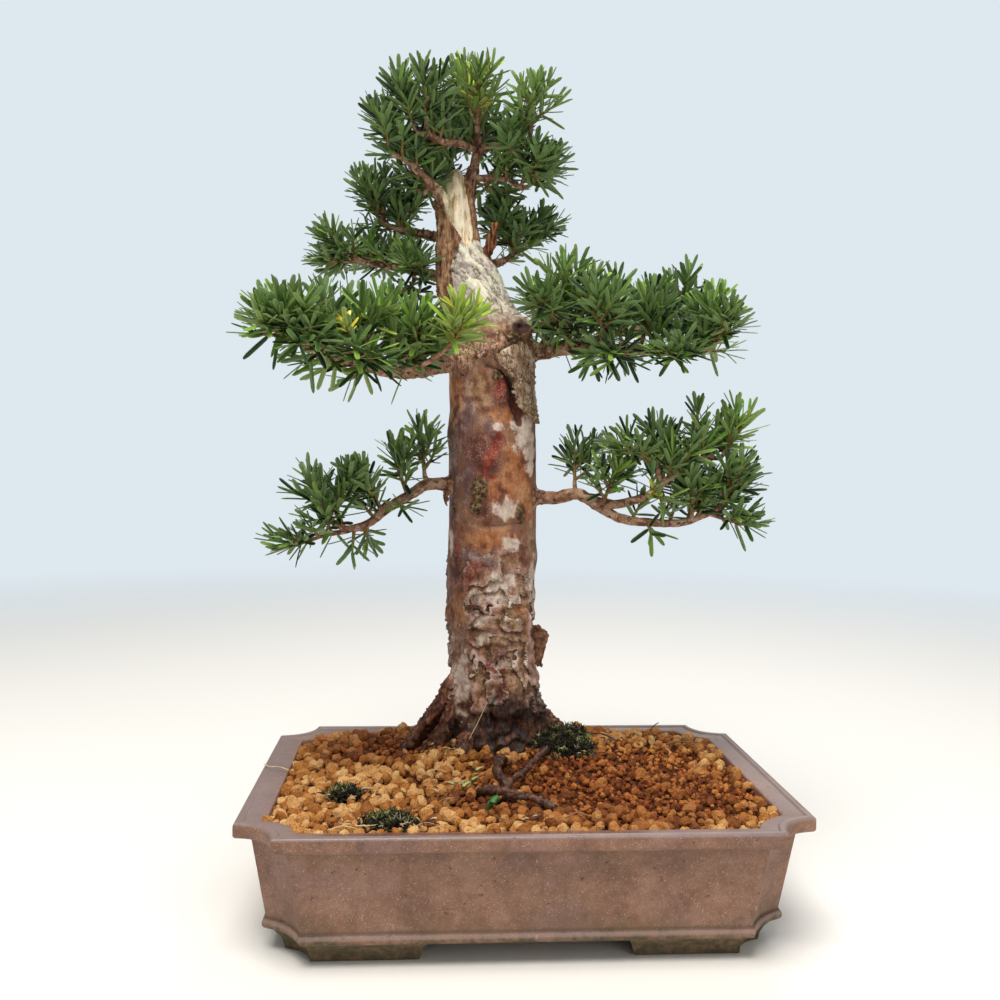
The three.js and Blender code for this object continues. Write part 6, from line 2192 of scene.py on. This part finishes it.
# %% [markdown]
# The body of a cushion is a ball pressed flat and pushed about by fractal noise, so its outline is as
# uneven as the ground it creeps over. It stands where the solid cushion stood.

# %% Plant the three cushions
# Centre, half sizes, and the least distance between two sprigs
CUSHIONS = {
    "moss_trunk": ((35, 29, 87), (19, 13, 13), 1.75),
    "moss_front_left": ((-80, -88, 79), (14, 7.5, 5), 1.7),
    "moss_left": ((-108, -42, 80), (9, 5.5, 4), 1.7),
}


def make_cushion(name, centre, half):
    shape = bmesh.new()
    bmesh.ops.create_icosphere(shape, subdivisions=4, radius=1)
    for vertex in shape.verts:
        lump = fractal(vertex.co * 2.1 + Vector(centre), 0.9, 2.1, 4)
        vertex.co *= 0.95 + 0.42 * lump
    mesh = bpy.data.meshes.new(name)
    for vertex in shape.verts:
        vertex.co = (Vector(centre) + Vector([c * h for c, h in zip(vertex.co, half)])) * MM
    shape.to_mesh(mesh)
    shape.free()
    return new_object(name, mesh)


moss_finish = finish_moss()
sprig = make_sprig()
moss_tree = moss_recipe(sprig, moss_finish)
for k, (node, (centre, half, closest)) in enumerate(CUSHIONS.items()):
    cushion = make_cushion(node + "_dressed", centre, half)
    run_recipe(cushion, moss_tree, {"Closest": closest * MM, "Length": 3.4 * MM, "Seed": k})
    ship(cushion, "moss", node)
bpy.data.objects.remove(sprig)

# %% [markdown]
# ### Litter on the soil
#
# Bits of bark, dead twigs and straw lie about where they fell, thickest round the moss, with a few green
# and yellow scraps of leaf among them. A twig here is a bent tapering tube, a scrap is a thin curled blade,
# and both rest on the grains: a point is given by its place on the ground and its height over the soil.

# %% Twigs and scraps
# Points (x, y, height over the soil), thickness, and how pale each is
TWIGS = [
    ([(40, 64, 3), (50, 66, 4), (58, 62, 3.2), (67, 63, 3.4), (76, 53, 2)], 1.0, 0.15),
    ([(52, 66, 3.4), (55, 60, 4.5), (60, 56, 2)], 0.5, 0.1),
    ([(107, 91, 1), (110, 91, 6), (114, 91, 9)], 0.55, 0.3),
    ([(111, 53, 3), (118, 58, 3.8), (127, 62, 3), (135, 60, 3.6), (143, 52, 2)], 0.75, 0.45),
    ([(126, 61, 3), (130, 56, 3.6), (133, 50, 2)], 0.45, 0.35),
    ([(-147, 2, 4), (-152, 5, 5), (-156, 9, 4.4), (-160, 8, 5), (-165, 16, 4.6)], 0.45, 0.95),
    ([(-31, 17, 8), (-25, 18, 19), (-19, 18.5, 32)], 0.28, 1.0),
    ([(-112, -98, 2), (-104, -96, 3.4), (-96, -97, 2)], 0.5, 0.85),
    ([(-98, -95, 3), (-90, -98, 4), (-84, -94, 3)], 0.4, 0.9),
    ([(-66, -97, 2), (-58, -93, 3), (-52, -95, 2)], 0.5, 0.6),
    ([(-52, -60, 3.2), (-44, -56, 4), (-38, -58, 3)], 0.6, 0.2),
    ([(-60, -20, 3.2), (-52, -16, 4.2), (-46, -19, 3.2)], 0.5, 0.75),
    ([(20, -86, 2), (28, -82, 3.6), (35, -85, 2)], 0.5, 0.5),
]
# Points (x, y, height over the soil), width, and how green each is
SCRAPS = [
    ([(-24, -72, 1), (-21, -71, 5), (-17, -69, 8.5)], 6, 1.0),
    ([(-38, -44, 2), (-36, -44, 5), (-32, -43, 7)], 3, 0.45),
    ([(-31, -39, 2), (-31, -39, 6), (-27, -38, 8)], 2.6, 0.55),
    ([(-29, -20, 2), (-27, -20, 4.5), (-23, -19, 5.5)], 2.4, 0.4),
    ([(-42, -40, 2), (-42, -40, 4.5), (-46, -40, 6)], 2.2, 0.3),
]
# Centre and half size of the places where small bits gather, and how many
CRUMBS = [
    ((-82, -91), (30, 6), 46), ((-106, -44), (20, 9), 22), ((-46, 26), (10, 12), 22), ((34, 20), (24, 8), 26),
    ((-6, -90), (12, 5), 10), ((-30, -40), (24, 16), 18), ((70, 60), (40, 20), 14),
]
SLIVER_STEPS = 8


def on_soil(point):
    """A point of a line on the ground, lifted to its height over the soil."""
    x, y, above = point
    return (x, y, soil_height(x, y) + above)


def sliver(points, width):
    """A thin curled blade along the curve, widest in its middle."""
    last = SLIVER_STEPS
    line = [smooth_point(points, s / last) for s in range(last + 1)]
    rings = []
    for s, at in enumerate(line):
        along = (line[min(s + 1, last)] - line[max(s - 1, 0)]).normalized()
        across = along.orthogonal().normalized()
        over = along.cross(across)
        half = 0.15 + 0.5 * width * math.sin(math.pi * (0.04 + 0.92 * s / last)) ** 0.7
        rings.append([tuple(at + across * half), tuple(at + over * 0.9), tuple(at - across * half),
                      tuple(at + over * 0.5)])
    return loft(rings)


def make_litter():
    pieces = []

    def keep(points, faces, pale, green):
        piece = new_piece("bit", points, faces)
        set_values(piece, "pale", [pale] * len(points))
        set_values(piece, "green", [green] * len(points))
        face_outward(piece)
        pieces.append(piece)

    for points, radius, pale in TWIGS:
        keep(*tube([on_soil(p) for p in points], radius, radius * 0.6, 7, 2), pale, 0)
    for points, width, green in SCRAPS:
        keep(*sliver([on_soil(p) for p in points], width), 0.5, green)
    draw = random.Random("crumbs")
    for centre, half, count in CRUMBS:
        for _ in range(count):
            x = centre[0] + half[0] * draw.uniform(-1, 1)
            y = centre[1] + half[1] * draw.uniform(-1, 1)
            turn, reach = draw.uniform(0, 2 * math.pi), draw.uniform(1.2, 3.6)
            step = Vector((math.cos(turn), math.sin(turn), draw.uniform(-0.3, 0.4))) * reach
            middle = Vector(on_soil((x, y, draw.uniform(2, 3.6))))
            line = [middle - step, middle + Vector((0, 0, 0.4)), middle + step]
            thick = draw.uniform(0.25, 0.7)
            keep(*tube(line, thick, thick * 0.6, 5, 2), draw.choice((0, 0.1, 0.3, 0.9)), 0)
    return merged(pieces, "litter")


def finish_litter():
    material, start = new_finish("litter")
    place = object_place(start)
    fine = place.noise(1.5 * MM, detail=4, roughness=0.65)
    pale = attribute(start, "pale")
    wood = ramp(fine * 0.4 + pale * 0.75, (0.15, "1c0f0a"), (0.35, "5a2c20"), (0.6, "9a6a45"),
                (0.95, "dcc596"))
    green = attribute(start, "green")
    leaf = ramp(green + (fine - 0.5) * 0.5, (0.3, "c2bb74"), (0.6, "8f9a45"), (0.95, "3f7030"))
    colour = mix(green.between(0.1, 0.2), wood, leaf)
    shade(start, colour, 0.55, bump(fine, 0.4 * MM))
    return material


litter = make_litter()
litter.data.materials.append(finish_litter())
litter.data.shade_smooth()
ship(litter, "bark")

# %% [markdown]
# ## Floor and light
#
# The tree is shown on a plain pale floor in soft studio light. The floor fades out at its edge into the
# same pale backdrop colour, so no horizon cuts through the picture. A large soft lamp hangs over the tree,
# a little to the front, as daylight would reach it on a bench. A weaker one fills in from the front right,
# and one from behind rims the needles.

# %% Floor, lamps and backdrop
BACKDROP = paint("e0eaf1")
BACKDROP_LIGHT = 0.38
SEEN_BACKDROP = 0.98
FLOOR_RADIUS = 2.2
FLOOR_SIDES = 96
# The height that the lamps are turned to
LAMP_AIM = 0.25


def add_floor():
    rim = [Vector((math.cos(t), math.sin(t), 0)) * FLOOR_RADIUS / MM for t in turns_of(FLOOR_SIDES)]
    floor = new_piece("floor", rim, [tuple(range(FLOOR_SIDES))])
    material, start = new_finish("floor")
    place = object_place(start)
    away = place.vector_math("LENGTH", output=1)
    colour = mix(place.noise(0.4) * 0.2, "f7f2ea", "f2ebe0")
    board = start.node("ShaderNodeBsdfPrincipled", inputs={"Base Color": colour, "Roughness": 0.6})
    clear = start.node("ShaderNodeBsdfTransparent")
    fade = away.between(0.7, 2.1)
    both = start.node("ShaderNodeMixShader", inputs={0: fade, 1: board, 2: clear})
    start.node("ShaderNodeOutputMaterial", inputs={"Surface": both})
    floor.data.materials.append(material)
    floor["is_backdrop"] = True


def add_lamp(name, place, size, power, colour=(1, 1, 1)):
    """A square soft lamp that faces the middle of the tree."""
    light = bpy.data.lights.new(name, "AREA")
    light.size = size
    light.energy = power
    light.color = colour
    lamp = new_object(name, light)
    lamp.location = place
    lamp.rotation_euler = (Vector((0, 0, LAMP_AIM)) - Vector(place)).to_track_quat("-Z", "Y").to_euler()


def add_backdrop():
    world = bpy.data.worlds.new("studio")
    world.use_nodes = True
    background = world.node_tree.nodes["Background"]
    background.inputs["Color"].default_value = BACKDROP
    start = Wire(world.node_tree)
    seen = start.node("ShaderNodeLightPath").out("Is Camera Ray")
    glow = seen * (SEEN_BACKDROP - BACKDROP_LIGHT) + BACKDROP_LIGHT
    world.node_tree.links.new(glow.socket, background.inputs["Strength"])
    bpy.context.scene.world = world


add_floor()
add_lamp("key", (-0.3, -0.75, 2.0), 1.1, 48, (1.0, 0.985, 0.96))
add_lamp("fill", (1.2, -1.7, 0.9), 1.3, 7, (0.97, 0.98, 1.0))
add_lamp("rim", (0.6, 1.5, 1.5), 1.0, 9)
add_backdrop()
bpy.context.scene.view_settings.view_transform = "Standard"

# %% Gather the sizes and finish
sizes = {"cad": [list(corner) for corner in cad_box], "visual": [list(corner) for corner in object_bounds()]}
